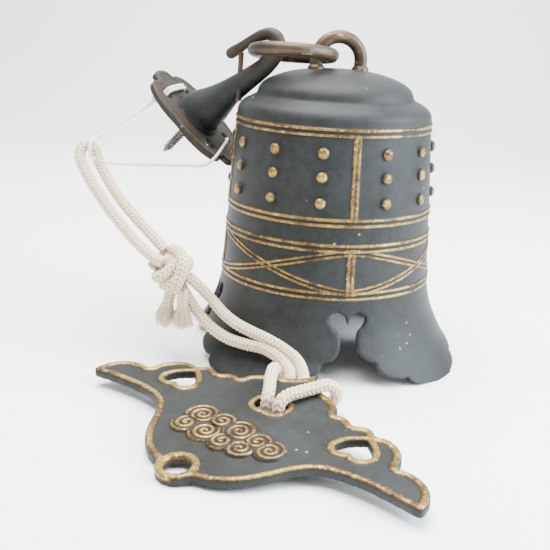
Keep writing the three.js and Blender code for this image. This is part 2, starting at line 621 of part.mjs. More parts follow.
function ropes(parent) {
  piece("rope_pull", tube(pullRoute(), ROPE, PULL_STEPS, 8), cotton, parent);
  const groove = tube(TIE_FREE, STRING + 2 * GAP, 40, 8);
  const loop = solid(tube(LOOP, ROPE, LOOP_STEPS, 8)).subtract(solid(groove));
  piece("rope_loop", geometryOf(loop), cotton, parent);
  TAILS.forEach((tail, i) => piece(`rope_tail_${i + 1}`, tube(tail, ROPE, TAIL_STEPS, 8), cotton, parent));
  const knot = new THREE.SphereGeometry(1, 16, 10);
  knot.scale(...KNOT.half);
  knot.translate(...KNOT.centre);
  let body = solid(knot);
  for (const [strand, steps] of [[pullRoute(), PULL_STEPS], [LOOP, LOOP_STEPS], [TAILS[0], TAIL_STEPS],
    [TAILS[1], TAIL_STEPS]]) {
    body = body.subtract(solid(tube(strand, ROPE + GAP, steps, 8)));
  }
  piece("rope_knot", geometryOf(body), cotton, parent);
}

// ---------------------------------------------------------------- the whole
const model = new THREE.Group();
model.position.set(...ORIGIN_SHIFT);
bellShell(model);
crownLoop(model);
hangerStrap(model);
loopFasteners(model);
clapperLink(model);
clapper(model);
linkRing(model);
wallPlate(model);
hookArm(model);
sailPlate(model);
ropes(model);
tieString(model);

export default model;
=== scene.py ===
"""Looks of the yard dinner bell: cast bell, hanging ring, hooked bracket, braided rope and sail plate.

Shapes are worked out in millimetres about the bell's own axis; put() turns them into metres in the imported
model's frame.
"""

from math import atan, atan2, cos, pi, radians, sin, sqrt

import bmesh
import bpy
import numpy as np
from mathutils import Matrix, Vector
from mathutils.geometry import delaunay_2d_cdt


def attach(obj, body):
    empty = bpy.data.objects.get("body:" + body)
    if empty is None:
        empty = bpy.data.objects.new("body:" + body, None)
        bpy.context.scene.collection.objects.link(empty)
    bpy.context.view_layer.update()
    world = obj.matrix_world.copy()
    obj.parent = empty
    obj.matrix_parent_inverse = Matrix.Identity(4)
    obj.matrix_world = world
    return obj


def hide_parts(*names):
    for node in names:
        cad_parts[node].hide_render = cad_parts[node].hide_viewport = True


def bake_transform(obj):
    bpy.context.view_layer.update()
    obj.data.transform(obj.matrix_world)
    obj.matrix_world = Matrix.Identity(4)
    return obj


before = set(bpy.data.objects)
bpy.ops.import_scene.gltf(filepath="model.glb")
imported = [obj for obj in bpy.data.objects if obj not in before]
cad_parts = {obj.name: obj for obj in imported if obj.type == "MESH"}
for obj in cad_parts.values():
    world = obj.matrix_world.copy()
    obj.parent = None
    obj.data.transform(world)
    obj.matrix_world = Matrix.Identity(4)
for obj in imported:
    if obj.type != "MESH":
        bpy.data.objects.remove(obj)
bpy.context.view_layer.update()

SHIFT = np.array([25.61, 85.31, 0.0])  # bell axis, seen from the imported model's origin
BELL_TURN = radians(13.6)  # the straps stand at this angle and every 90 degrees
ARCH_X = 0.8  # the crown loop stands this far off the axis
RNG = np.random.default_rng(7)


# ---- camera
def camera():
    data = bpy.data.cameras.new("camera")
    data.lens = 55.64
    data.sensor_width = 36
    data.clip_start, data.clip_end = 0.01, 30
    cam = bpy.data.objects.new("camera", data)
    right, up = Vector((0.99622, 0.07324, 0.04662)), Vector((-0.06562, 0.28367, 0.95667))
    back = right.cross(up)
    cam.matrix_world = Matrix((right, up, back)).transposed().to_4x4()
    cam.location = (0.02561, -0.60829, 0.2647)
    bpy.context.scene.collection.objects.link(cam)
    bpy.context.scene.camera = cam


camera()


# ---- shape helpers
def catmull(points, per=12, closed=False):
    """Centripetal Catmull-Rom curve through the points, as a fine polyline."""
    p = np.array(points, float)
    ends = (p[-1:], p[:2]) if closed else (2 * p[:1] - p[1:2], 2 * p[-1:] - p[-2:-1])
    q = np.vstack([ends[0], p, ends[1]])
    t = np.linspace(0, 1, per, endpoint=False)[:, None]
    out = []
    for p0, p1, p2, p3 in zip(q, q[1:], q[2:], q[3:]):
        d0, d1, d2 = (max(np.linalg.norm(b - a), 1e-6) ** 0.5 for a, b in ((p0, p1), (p1, p2), (p2, p3)))
        m1 = d1 * ((p1 - p0) / d0 - (p2 - p0) / (d0 + d1) + (p2 - p1) / d1)
        m2 = d1 * ((p2 - p1) / d1 - (p3 - p1) / (d1 + d2) + (p3 - p2) / d2)
        a = (2 * t**3 - 3 * t**2 + 1) * p1 + (t**3 - 2 * t**2 + t) * m1
        out.append(a + (3 * t**2 - 2 * t**3) * p2 + (t**3 - t**2) * m2)
    if not closed:
        out.append(p[-1:])
    return np.vstack(out)


def distances(line):
    """How far along the line each of its points is."""
    return np.r_[0, np.cumsum(np.linalg.norm(np.diff(line, axis=0), axis=1))]


def length_of(line):
    return float(distances(line)[-1])


def even(points, step=1.0, count=None, closed=False):
    """The same line with evenly spaced points; a closed one doesn't repeat its first point."""
    p = np.vstack([points, points[:1]]) if closed else np.asarray(points, float)
    s = distances(p)
    n = count or max(3, round(s[-1] / step))
    along = np.linspace(0, s[-1], n if closed else n + 1, endpoint=not closed)
    return np.column_stack([np.interp(along, s, p[:, k]) for k in range(p.shape[1])])


def grid_faces(rows, columns, wrap_rows=False):
    """Quads between rings of points, each ring closed."""
    r = np.arange(rows if wrap_rows else rows - 1)[:, None]
    c = np.arange(columns)[None]
    a, b = r * columns + c, r * columns + (c + 1) % columns
    up = (r + 1) % rows * columns
    return np.stack([a, b, up + (c + 1) % columns, up + c], -1).reshape(-1, 4).tolist()


def sweep(path, radius, sides, closed=False):
    """A tube round a path. radius is a number, or a function of (turns round, millimetres along)."""
    p = np.asarray(path, float)
    tangent = np.roll(p, -1, 0) - np.roll(p, 1, 0) if closed else np.gradient(p, axis=0)
    tangent /= np.linalg.norm(tangent, axis=1)[:, None]
    side = np.cross(tangent[0], [0.3, 0.2, 1.0])
    sides_at = []
    for t in tangent:
        side = side - t * (side @ t)
        side /= np.linalg.norm(side)
        sides_at.append(side)
    n = np.array(sides_at)
    b = np.cross(tangent, n)
    along = distances(p)
    turn = np.arange(sides) / sides
    if closed:  # share the leftover twist out, so that the last ring meets the first
        twist = atan2(float(n[-1] @ b[0]), float(n[-1] @ n[0]))
        angle = 2 * np.pi * turn[None] - np.linspace(0, twist, len(p))[:, None]
    else:
        angle = np.broadcast_to(2 * np.pi * turn[None], (len(p), sides))
    size = radius(turn[None], along[:, None]) if callable(radius) else radius
    size = np.broadcast_to(size, (len(p), sides))
    ring = np.cos(angle)[..., None] * n[:, None] + np.sin(angle)[..., None] * b[:, None]
    points = (p[:, None] + size[..., None] * ring).reshape(-1, 3)
    faces = grid_faces(len(p), sides, closed)
    if not closed:
        last = (len(p) - 1) * sides
        faces += [list(range(sides))[::-1], list(range(last, last + sides))]
    return points, faces


def lathe(profile, columns):
    """A turned shape from [radius, height] points; a closed profile gives a ring."""
    p = np.asarray(profile, float)
    closed = np.allclose(p[0], p[-1])
    p = p[:-1] if closed else p
    a = 2 * np.pi * np.arange(columns) / columns
    points = np.stack([p[:, :1] * np.cos(a), p[:, :1] * np.sin(a), np.repeat(p[:, 1:], columns, 1)], -1)
    faces = grid_faces(len(p), columns, closed)
    if not closed:
        last = (len(p) - 1) * columns
        faces += [list(range(columns))[::-1], list(range(last, last + columns))]
    return points.reshape(-1, 3), faces


def prism(sides, radius, z0, z1, chamfer):
    """A nut with turned corners, bored for a bolt."""
    count = 48
    a = 2 * np.pi * (np.arange(count) + 0.5) / count
    half = pi / sides
    flat = radius * cos(half) / np.cos((a + half) % (2 * half) - half)
    turned = np.minimum(flat, radius * 0.9)
    bore = np.full(count, radius * 0.6)
    rings = [(bore, z0), (turned, z0), (flat, z0 + chamfer), (flat, z1 - chamfer), (turned, z1), (bore, z1)]
    points = np.stack([np.column_stack([r * np.cos(a), r * np.sin(a), np.full(count, z)]) for r, z in rings])
    return points.reshape(-1, 3), grid_faces(len(rings), count, True)


def join(*parts):
    """Several (points, faces) as one."""
    points, faces, base = [], [], 0
    for p, f in parts:
        points.append(np.asarray(p, float))
        faces += [[i + base for i in face] for face in f]
        base += len(p)
    return np.vstack(points), faces


def moved(part, matrix):
    points, faces = part
    m = np.array(matrix)
    return np.asarray(points) @ m[:3, :3].T + m[:3, 3], faces


def circle(radius, count, x=0.0, y=0.0):
    """Points round a circle; the last doesn't repeat the first."""
    a = np.linspace(0, 2 * pi, count, endpoint=False)
    return np.column_stack([x + radius * np.cos(a), y + radius * np.sin(a)])


def at(x, y, z):
    return Matrix.Translation((x, y, z))


def framed(origin, x, y, z):
    m = Matrix((x, y, z)).transposed().to_4x4()
    m.translation = Vector(origin)
    return m


def put(name, part, finish, body, stands_for=(), marks=None, angle=35):
    """Makes the mesh and hands it to the CAD body. marks are point values that the finish reads."""
    points, faces = part
    mesh = bpy.data.meshes.new(name)
    mesh.from_pydata(((np.asarray(points) + SHIFT) / 1000).tolist(), [], faces)
    for key, value in (marks or {}).items():
        layer = mesh.attributes.new(key, "FLOAT", "POINT")
        layer.data.foreach_set("value", np.asarray(value, np.float32))
    mesh.validate()
    mesh.polygons.foreach_set("use_smooth", [True] * len(mesh.polygons))
    if angle:
        mesh.set_sharp_from_angle(angle=radians(angle))
    slot, material = finish
    mesh.materials.append(material)
    o = bpy.data.objects.new(name, mesh)
    bpy.context.scene.collection.objects.link(o)
    if body:
        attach(o, body)
    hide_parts(*stands_for)
    return o


# ---- flat castings
def chunks(points):
    """The points in lots small enough to compare with every edge of an outline at once."""
    return np.array_split(points, len(points) // 3000 + 1)


def distance(points, loop):
    """How far each point is from a closed outline."""
    a = np.asarray(loop, float)
    d = np.roll(a, -1, 0) - a
    size = np.maximum((d * d).sum(1), 1e-12)
    out = []
    for part in chunks(points):
        v = part[:, None] - a
        t = np.clip((v * d).sum(2) / size, 0, 1)
        out.append(np.linalg.norm(v - t[..., None] * d, axis=2).min(1))
    return np.concatenate(out)


def inside(points, loop):
    """Whether each point is within a closed outline."""
    a = np.asarray(loop, float)
    b = np.roll(a, -1, 0)
    out = []
    for part in chunks(points):
        x, y = part[:, :1], part[:, 1:]
        over = (a[:, 1] > y) != (b[:, 1] > y)
        rise = np.where(b[:, 1] == a[:, 1], 1e-12, b[:, 1] - a[:, 1])
        crosses = over & (x < (b[:, 0] - a[:, 0]) * (y - a[:, 1]) / rise + a[:, 0])
        out.append(crosses.sum(1) % 2 == 1)
    return np.concatenate(out)


def within(points, loops):
    """Whether each point is within the first outline and outside the others."""
    keep = inside(points, loops[0])
    for hole in loops[1:]:
        keep &= ~inside(points, hole)
    return keep


def hex_grid(low, high, step):
    """Points on a triangular grid over a rectangle."""
    y = np.arange(low[1], high[1], step * 0.866)
    x = np.arange(low[0], high[0], step)
    gx, gy = np.meshgrid(x, y)
    gx = gx + (np.arange(len(y)) % 2)[:, None] * step / 2
    return np.column_stack([gx.ravel(), gy.ravel()])


def fill(outline, holes, spacing, fine=None):
    """Triangles over a region with holes. fine is an outline and a spacing for a part with more detail."""
    loops = [np.asarray(loop, float) for loop in [outline, *holes]]
    grid = hex_grid(loops[0].min(0), loops[0].max(0), spacing)
    if fine is not None:
        region, step = fine
        dense = hex_grid(region.min(0), region.max(0), step)
        grid = np.vstack([grid[~inside(grid, region)], dense[inside(dense, region)]])
    grid = grid[within(grid, loops)]
    grid = grid[np.min([distance(grid, loop) for loop in loops], axis=0) > 0.5 * spacing]
    edges, base = [], 0
    for loop in loops:
        n = len(loop)
        edges += [(base + i, base + (i + 1) % n) for i in range(n)]
        base += n
    points = np.vstack([*loops, grid])
    found = delaunay_2d_cdt([Vector(p) for p in points], edges, [], 0, 1e-6)
    flat = np.array([tuple(v) for v in found[0]])
    triangles = np.array(found[2])
    keep = within(flat[triangles].mean(1), loops)
    new = {old: i for i, olds in enumerate(found[3]) for old in olds}
    return flat, triangles[keep], [[new[a], new[b]] for a, b in edges], loops


def casting(outline, holes, spacing, front, back, fine=None, open_edge=None):
    """A plate with a worked front: front and back turn (flat points, depth in from the edge) into 3-D."""
    flat, triangles, border, loops = fill(outline, holes, spacing, fine)
    depth = np.min([distance(flat, loop) for loop in loops], axis=0)
    n = len(flat)
    points = np.vstack([front(flat, depth), back(flat, depth)])
    faces = triangles.tolist() + (triangles[:, ::-1] + n).tolist()
    signs = edge_signs(triangles, border)
    for (a, b), sign in zip(border, signs):
        if open_edge is not None and open_edge(flat[a], flat[b]):
            continue
        faces.append([b, a, a + n, b + n] if sign else [a, b, b + n, a + n])
    return (points, faces), flat, depth


def edge_signs(triangles, border):
    """True where a border edge runs the same way as in its triangle."""
    t = np.asarray(triangles)
    known = set(map(tuple, np.vstack([t[:, [0, 1]], t[:, [1, 2]], t[:, [2, 0]]]).tolist()))
    return [tuple(e) in known for e in border]


def rounded(depth, radius):
    """How far a face drops near an edge with that rounding."""
    x = np.clip(1 - depth / radius, 0, 1)
    return radius * (1 - np.sqrt(1 - x * x))


def ridge(distance_to_line, half_width):
    """A round-topped ridge's height, 1 on its line and 0 at its sides."""
    x = np.clip(np.abs(distance_to_line) / half_width, 0, 1)
    return np.sqrt(1 - x * x)


# ---- finishes
class Nodes:
    """A material's node tree, built by short calls."""

    def __init__(self, name):
        self.material = bpy.data.materials.new(name)
        self.material.use_nodes = True
        self.tree = self.material.node_tree
        self.shader = self.tree.nodes["Principled BSDF"]
        self.place = self.add("ShaderNodeTexCoord").outputs["Object"]

    def add(self, kind, inputs=None, **settings):
        node = self.tree.nodes.new(kind)
        for key, value in settings.items():
            setattr(node, key, value)
        for key, value in (inputs or {}).items():
            self.feed(node.inputs[key], value)
        return node

    def feed(self, socket, value):
        """Links an output, or sets a value; a colour is given as red, green and blue."""
        if isinstance(value, bpy.types.NodeSocket):
            self.tree.links.new(value, socket)
        else:
            socket.default_value = (*value, 1.0) if socket.type == "RGBA" else value

    def noise(self, scale, detail=4.0, rough=0.6, stretch=None):
        place = self.place
        if stretch:
            place = self.add("ShaderNodeMapping", {"Vector": place, "Scale": stretch}).outputs[0]
        inputs = {"Vector": place, "Scale": scale, "Detail": detail, "Roughness": rough}
        return self.add("ShaderNodeTexNoise", inputs).outputs["Fac"]

    def mark(self, name):
        return self.add("ShaderNodeAttribute", attribute_name=name).outputs["Fac"]

    def between(self, value, low, high):
        """0 below low, 1 above high."""
        inputs = {"Value": value, "From Min": low, "From Max": high}
        return self.add("ShaderNodeMapRange", inputs).outputs[0]

    def math(self, operation, a, b=0.0):
        return self.add("ShaderNodeMath", {0: a, 1: b}, operation=operation).outputs[0]

    def times(self, a, b):
        return self.math("MULTIPLY", a, b)

    def mix(self, factor, a, b, kind="RGBA"):
        """Colour a where the factor is 0, b where it is 1."""
        node = self.add("ShaderNodeMix", data_type=kind)
        sockets = [s for s in node.inputs if s.enabled]
        for socket, value in zip(sockets, (factor, a, b)):
            self.feed(socket, value)
        return [s for s in node.outputs if s.enabled][0]

    def scalar(self, factor, a, b):
        return self.mix(factor, a, b, "FLOAT")

    def bump(self, layers):
        """Bumps stacked from (height, strength, distance) layers."""
        normal = None
        for height, strength, depth in layers:
            inputs = {"Height": height, "Strength": strength, "Distance": depth}
            if normal:
                inputs["Normal"] = normal
            normal = self.add("ShaderNodeBump", inputs).outputs[0]
        self.feed(self.shader.inputs["Normal"], normal)

    def finish(self, **sockets):
        for key, value in sockets.items():
            self.feed(self.shader.inputs[key.replace("_", " ")], value)
        return self.material


def painted_casting():
    """Grey-green paint over cast metal; the relief is rubbed back to gold, with coppery patches."""
    n = Nodes("painted_casting")
    broad = n.between(n.noise(14, 3), 0.36, 0.64)
    fine = n.between(n.noise(160, 6, 0.7), 0.3, 0.75)
    paint = n.mix(broad, (0.008, 0.009, 0.007), (0.018, 0.021, 0.021))
    paint = n.mix(n.times(fine, 0.45), paint, (0.036, 0.04, 0.041))
    stain = n.between(n.noise(48, 6, 0.72), 0.56, 0.74)
    paint = n.mix(n.times(stain, 0.45), paint, (0.03, 0.022, 0.016))
    brown = (0.046, 0.028, 0.017)
    toned = n.times(n.mark("tone"), n.between(n.noise(55, 5, 0.7), 0.25, 0.6))
    paint = n.mix(toned, paint, brown)
    relief = n.mark("relief")
    # Painted shade with dirt: the paint darkens to brown along the foot of each raised line, where the
    # hollow beside a ridge would lie in shade.
    crevice_dirt_and_shade = n.times(n.between(relief, 0.02, 0.1), 0.7)
    paint = n.mix(crevice_dirt_and_shade, paint, (0.026, 0.017, 0.01))
    patches = n.between(n.noise(46, 6, 0.65), 0.3, 0.52)
    specks = n.between(n.noise(480, 5, 0.75), 0.26, 0.5)
    rubbed = n.times(relief, n.times(n.scalar(0.75, 1.0, patches), specks))
    worn = n.between(rubbed, 0.26, 0.66)
    copper = n.between(n.noise(30, 5, 0.65), 0.44, 0.58)
    gold = n.mix(copper, (0.25, 0.165, 0.038), (0.095, 0.048, 0.02))
    # Painted highlight: small bright gold specks, scattered by noise, stand in for glints on the rubbed
    # relief.
    gold = n.mix(n.between(n.noise(330, 5, 0.75), 0.5, 0.68), gold, (0.55, 0.4, 0.13))
    color = n.mix(worn, paint, gold)
    chips = n.add("ShaderNodeTexVoronoi", {"Vector": n.place, "Scale": 95.0}).outputs["Distance"]
    chip = n.times(n.math("LESS_THAN", chips, 0.085), n.between(n.noise(24, 2), 0.585, 0.6))
    color = n.mix(n.times(chip, 0.6), color, (0.42, 0.38, 0.28))
    rough = n.scalar(worn, n.scalar(fine, 0.46, 0.6), 0.4)
    n.bump([(n.noise(70, 4, 0.5), 0.1, 0.0012), (n.noise(620, 6, 0.7), 0.16, 0.0004)])
    metal = n.times(worn, 0.65)
    return n.finish(Base_Color=color, Roughness=rough, Metallic=metal, Specular_IOR_Level=0.16)


def bronze_patina():
    """Brown bronze darkened by hands and weather, scratched bright in places."""
    n = Nodes("bronze_patina")
    broad = n.between(n.noise(38, 4), 0.35, 0.65)
    base = n.mix(broad, (0.034, 0.025, 0.017), (0.084, 0.05, 0.027))
    base = n.mix(n.between(n.noise(60, 5, 0.7), 0.52, 0.66), base, (0.042, 0.042, 0.033))
    streak = n.noise(150, 6, 0.75, stretch=(0.35, 1.0, 1.6))
    bright = n.times(n.between(streak, 0.56, 0.63), n.between(n.noise(30, 2), 0.42, 0.54))
    color = n.mix(bright, base, (0.5, 0.35, 0.11))
    rough = n.scalar(n.between(n.noise(200, 5), 0.3, 0.7), 0.36, 0.55)
    n.bump([(n.noise(110, 4, 0.6), 0.22, 0.0008), (n.noise(700, 5, 0.7), 0.15, 0.0003)])
    return n.finish(Base_Color=color, Roughness=rough, Metallic=0.55)


def steel_fastener():
    """Dull zinc and rust."""
    n = Nodes("steel_fastener")
    rust = n.between(n.noise(90, 7, 0.7), 0.42, 0.62)
    color = n.mix(rust, (0.2, 0.19, 0.175), (0.13, 0.075, 0.042))
    rough = n.scalar(rust, 0.42, 0.75)
    n.bump([(n.noise(300, 6, 0.7), 0.3, 0.0004)])
    return n.finish(Base_Color=color, Roughness=rough, Metallic=n.scalar(rust, 0.85, 0.3))


def cotton(name, light, shade):
    """Cotton yarn with fine fibres, lighter on top of each stitch and browner between; the darker colour
    between stitches is painted shade, for the hollows there.
    """
    n = Nodes(name)
    crown = n.math("ADD", n.mark("crown"), n.times(n.noise(420, 4), 0.3))
    # Painted shade: low crowns, between stitches and between yarns, take the dark shade colour.
    color = n.mix(n.between(crown, 0.12, 0.72), shade, light)
    browner = [part * share for part, share in zip(light, (0.86, 0.82, 0.74))]
    color = n.mix(n.times(n.between(n.noise(30, 3), 0.45, 0.7), 0.3), color, browner)
    n.bump([(n.noise(2600, 4, 0.7), 0.5, 0.0004)])
    return n.finish(Base_Color=color, Roughness=0.92, Sheen_Weight=0.25, Sheen_Roughness=0.6,
                    Specular_IOR_Level=0.15)


PAINT = ("painted_casting", painted_casting())
BRONZE = ("bronze_patina", bronze_patina())
STEEL = ("steel_fastener", steel_fastener())
# Each cotton's second colour is painted shade, laid in the hollows between stitches and yarns.
COTTON = ("cotton_rope", cotton("cotton_rope", (0.8, 0.66, 0.47), (0.24, 0.155, 0.085)))
TWINE = ("tie_string", cotton("tie_string", (0.88, 0.86, 0.8), (0.55, 0.52, 0.45)))


# ---- ropes
ROPE = 3.8  # radius of the plain rope, and of the string
STRING = 1.3
SAIL_ORIGIN = (-79.6, -245, 7.7)  # middle of the sail plate's ring, on its face
SAIL_TURN = radians(-34.97)
SAIL_SLOPE = atan(0.11)
SAIL_THICK = 6.2


def sail_frame():
    """x across the sail plate, y towards its peak, z out of its face."""
    across = Vector((cos(SAIL_TURN), sin(SAIL_TURN), 0))
    up = Vector((-across.y * cos(SAIL_SLOPE), across.x * cos(SAIL_SLOPE), sin(SAIL_SLOPE)))
    return framed(SAIL_ORIGIN, across, up, across.cross(up))


BASE = (-114.9, 30, 183.7)  # middle of the wall plate's front face
PLATE_THICK = 5.5


def plate_frame():
    """x along the wall plate, z out of its front face."""
    z = Vector((0.6676, -0.2238, 0.7101)).normalized()
    x = Vector((0.6908, -0.1695, -0.7029))
    x = (x - z * x.dot(z)).normalized()
    return framed(BASE, x, z.cross(x), z)


def on(matrix, points):
    """Points given in a piece's own frame, about the bell's axis."""
    return [tuple(matrix @ Vector(p)) for p in points]


PULL_A = [(-112, -73, 78.5), (-98, -67, 65), (-87.5, -61.5, 52), (-76, -68, 42.5), (-64, -78, 38),
          (-52.5, -85.2, 35.4), (-37.1, -94.6, 32.6), (-24, -102.4, 28.4), (-14.5, -112, 24.4)]
HITCH = [(-5.4, 131, -4.4), (-4.4, 124, -10), (-0.6, 112, -11), (3.6, 99, -10.8), (5, 91.6, -8),
         (5.1, 89.9, -3.1), (5.3, 91.6, 2.2), (6.6, 98, 4.7), (10.4, 108, 4.7), (15, 118, 4.8),
         (19.6, 126.6, 4.4), (22.4, 131.4, -1), (21, 134, -8.6), (14, 136, -15), (2, 136.6, -18),
         (-11, 136, -18.2), (-22.6, 134, -14.2), (-29, 130.4, -6.6), (-28.4, 126.6, 2), (-24, 119.6, 5),
         (-17.6, 109, 4.9), (-9.4, 98, 4.7), (-5.6, 91.6, 2.2), (-5.1, 89.9, -3.1), (-5.8, 91.6, -8),
         (-8.6, 100, -10.8), (-12.4, 112, -11), (-15.4, 122.6, -9.6), (-17, 130.6, -3)]
PULL_B = [(-24.4, -111.4, 21.8), (-31, -104, 24.6), (-42, -95.6, 26.6), (-56.8, -88, 26), (-72, -78.4, 26.4),
          (-86, -68.6, 31), (-97.6, -63.4, 41), (-106, -64.6, 54), (-113, -68, 69)]
LOOP = [(-121, -78.6, 83.4), (-129.4, -72, 84.5), (-146, -61, 93), (-165, -50, 108.4), (-180.4, -42, 124.6),
        (-194.4, -35.4, 143.4), (-199.4, -31.6, 154.6), (-196.8, -27.4, 162), (-190.6, -22.6, 159.4),
        (-186, -23.6, 148.6), (-173.4, -32, 131), (-160, -40, 117), (-147, -47, 106), (-134, -55, 96.6),
        (-123, -63, 88.6)]
TAILS = [[(-117, -70, 62), (-120, -67, 50), (-122.4, -64, 38), (-124, -61.6, 26)],
         [(-107.6, -75, 63), (-108.4, -71.4, 50), (-107.4, -68, 38), (-106, -66, 25.4)]]
KNOT_MIDDLE = Vector((-116.5, -70.6, 77))
TIE_ON_PLATE = [(-30.4, -20, -8.6), (-30.8, -16.6, -7), (-30.8, -15.4, -2.6), (-30.8, -13.4, 1),
                (-30.8, -9, 2), (-30.8, 9, 2), (-30.8, 13.6, 1), (-30.8, 15.8, -2.6), (-30.4, 14.6, -7.6),
                (-29.6, 6, -7.6), (-28.8, -6, -7.6), (-28.2, -14, -7.6), (-28, -15.6, -2.6),
                (-28, -13.2, 1), (-28, -9, 2), (-28, 9, 2), (-28, 13.8, 1), (-28, 16.2, -2.6),
                (-25, 18.6, -7.6), (-8, 20, -7.6), (12, 19.4, -7.6), (25, 18, -7.4), (28.2, 15.8, -2.6),
                (29.4, 12.4, 1.2), (31.4, 6, 2), (35, -8, 2), (38.2, -20, 2), (40.6, -30, 1),
                (41, -34, -3.4), (39.6, -35, -9)]
TIE_FREE = [(-112, -9.6, 147.6), (-140, -13.2, 147.2), (-166, -16.6, 147), (-182.4, -19, 148),
            (-188.6, -26.4, 150.6), (-190.4, -32.6, 155), (-191, -31, 163.4), (-189.4, -24.6, 167.4),
            (-184.6, -18.8, 169.6), (-175.5, -10.4, 176.4), (-163, 1.2, 185.4), (-154, 9.6, 191.8),
            (-150.4, 13, 194.8)]
TIE_KNOT = (-29.6, -24, -9.4)

ROPE_SIDES = 40
STITCH = 3.3  # length of one braid stitch
COLUMNS = 8  # stitch columns round the rope, slanting by turns left and right


def braid_height(turn, along):
    """Height of the braid, 0 between stitches and 1 on top of one."""
    column = np.floor(turn * COLUMNS)
    across = turn * COLUMNS - column - 0.5
    lean = np.where(column % 2 == 0, 1.0, -1.0)
    phase = along / STITCH + lean * across * 0.75
    lump = (0.5 + 0.5 * np.cos(2 * np.pi * phase)) ** 0.6
    return lump * (1 - (2 * across) ** 2 * 0.7)


def braided(path):
    """A braided rope along a path, and the height of its stitches for the finish."""
    line = even(path, 0.55)
    part = sweep(line, lambda turn, along: ROPE * (0.99 + 0.24 * braid_height(turn, along)), ROPE_SIDES)
    part[0][:, 2] = np.maximum(part[0][:, 2], 0.2)  # flattened where it lies on the floor
    crown = braid_height(np.arange(ROPE_SIDES)[None] / ROPE_SIDES, distances(line)[:, None])
    return part, crown.ravel()


def rope_piece(name, route, stands_for):
    """A rope along a route, and the path it follows."""
    path = even(catmull(route), 1.0)
    part, crown = braided(path)
    return put(name, part, COTTON, None, stands_for, {"crown": crown}, angle=None), path


def fray(end, direction, length, count):
    """Loose yarn at a cut end, fanning out."""
    parts = []
    side = direction.orthogonal().normalized()
    other = direction.cross(side)
    for _ in range(count):
        a = RNG.uniform(0, 2 * np.pi)
        r = ROPE * 0.85 * sqrt(RNG.uniform(0, 1))
        out = side * cos(a) + other * sin(a)
        reach = length * RNG.uniform(0.6, 1.0)
        spread = RNG.uniform(0.2, 1.0) * (0.35 + r / ROPE)
        wave = RNG.uniform(-1.6, 1.6)
        line = []
        for t in np.linspace(0, 1, 7):
            p = end + out * (r + spread * 5.4 * t ** 1.5) + direction * (reach * t - 3)
            line.append(p + other * wave * sin(4 * t))
        width = RNG.uniform(0.2, 0.36)
        parts.append(sweep(even(catmull(line, 3), count=8), width, 4))
    return join(*parts)


def knot_wraps(middle):
    """An overhand knot drawn tight: three turns of rope round the strands, one crossing over."""
    axis = Vector((-0.62, -0.02, 0.78)).normalized()
    side = axis.orthogonal().normalized()
    other = axis.cross(side)
    line = []
    for t in np.linspace(0, 1, 90):
        a = 2 * pi * 2.3 * t + 0.5
        lift = -9.6 + 19.2 * t + 2.2 * sin(a)
        r = 12 + 1.6 * sin(pi * t)
        line.append(middle + axis * lift + side * r * cos(a) + other * r * sin(a) * 0.72)
    cross = [middle + axis * 12 + side * 10, middle + axis * 7 - other * 11 + side * 9,
             middle - other * 16 + side * 3, middle - axis * 8 - other * 12 - side * 6,
             middle - axis * 13 - side * 9]
    return [np.array([tuple(p) for p in line]), catmull([tuple(p) for p in cross])]


def ropes():
    """The knot, its two frayed ends, and the loop and the pull rope that run into it."""
    knot_parts, crowns = [], []
    for line in knot_wraps(KNOT_MIDDLE):
        part, crown = braided(line)
        knot_parts.append(part)
        crowns.append(crown)
    core = lathe([(0.01, -12), (6, -11), (9, -4), (9, 5), (6, 11), (0.01, 12)], 24)
    knot_parts.append(moved(core, at(*KNOT_MIDDLE)))
    crowns.append(np.full(len(core[0]), 0.3))
    marks = {"crown": np.concatenate(crowns)}
    knot = put("knot", join(*knot_parts), COTTON, "bell", ["rope_knot"], marks, angle=None)
    for i, tail in enumerate(TAILS):
        path = even(catmull(tail), 1.0)
        cut = int(len(path) * 0.42)
        part, crown = braided(path[:cut])
        way = Vector(path[cut - 1] - path[cut - 6]).normalized()
        brush = fray(Vector(path[cut - 1]), way, length_of(path[cut - 1:]) + 1, 420)
        marks = {"crown": np.r_[crown, np.full(len(brush[0]), 0.62)]}
        whole, node = join(part, brush), f"rope_tail_{i + 1}"
        put(f"tail_{i + 1}", whole, COTTON, "bell", [node], marks, angle=None)
    loop, path = rope_piece("loop_rope", LOOP, ["rope_loop"])
    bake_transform(loop)
    pull, path = rope_piece("pull_rope", PULL_A + on(sail_frame(), HITCH) + PULL_B, ["rope_pull"])
    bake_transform(pull)


def ply(turn, along):
    """Height of two-ply twine, 0 between its yarns and 1 on top of one."""
    return np.abs(np.cos(np.pi * (turn * 2 - along / 3.4)))


def twisted(turn, along):
    return STRING * (0.86 + 0.14 * ply(turn, along))


def tie():
    """The string, and a small bow of it where its ends meet."""
    path = even(catmull(on(plate_frame(), TIE_ON_PLATE) + TIE_FREE), 0.6)
    part = sweep(path, twisted, 12)
    crown = ply(np.arange(12)[None] / 12, distances(path)[:, None]).ravel()
    middle = plate_frame() @ Vector(TIE_KNOT)
    turns = [middle + Vector((2.1 * cos(a), 1.5 * sin(2 * a), 2.1 * sin(a)))
             for a in np.linspace(0, 2 * pi * 1.8, 60)]
    bow = sweep(even(catmull([tuple(p) for p in turns], 3), 0.5), twisted, 10)
    marks = {"crown": np.full(len(bow[0]), 0.7)}
    knot = put("string_knot", bow, TWINE, "bracket", ["tie_knot"], marks, angle=None)
    string = put("string", part, TWINE, "bracket", ["tie_string"], {"crown": crown}, angle=None)


ropes()
tie()


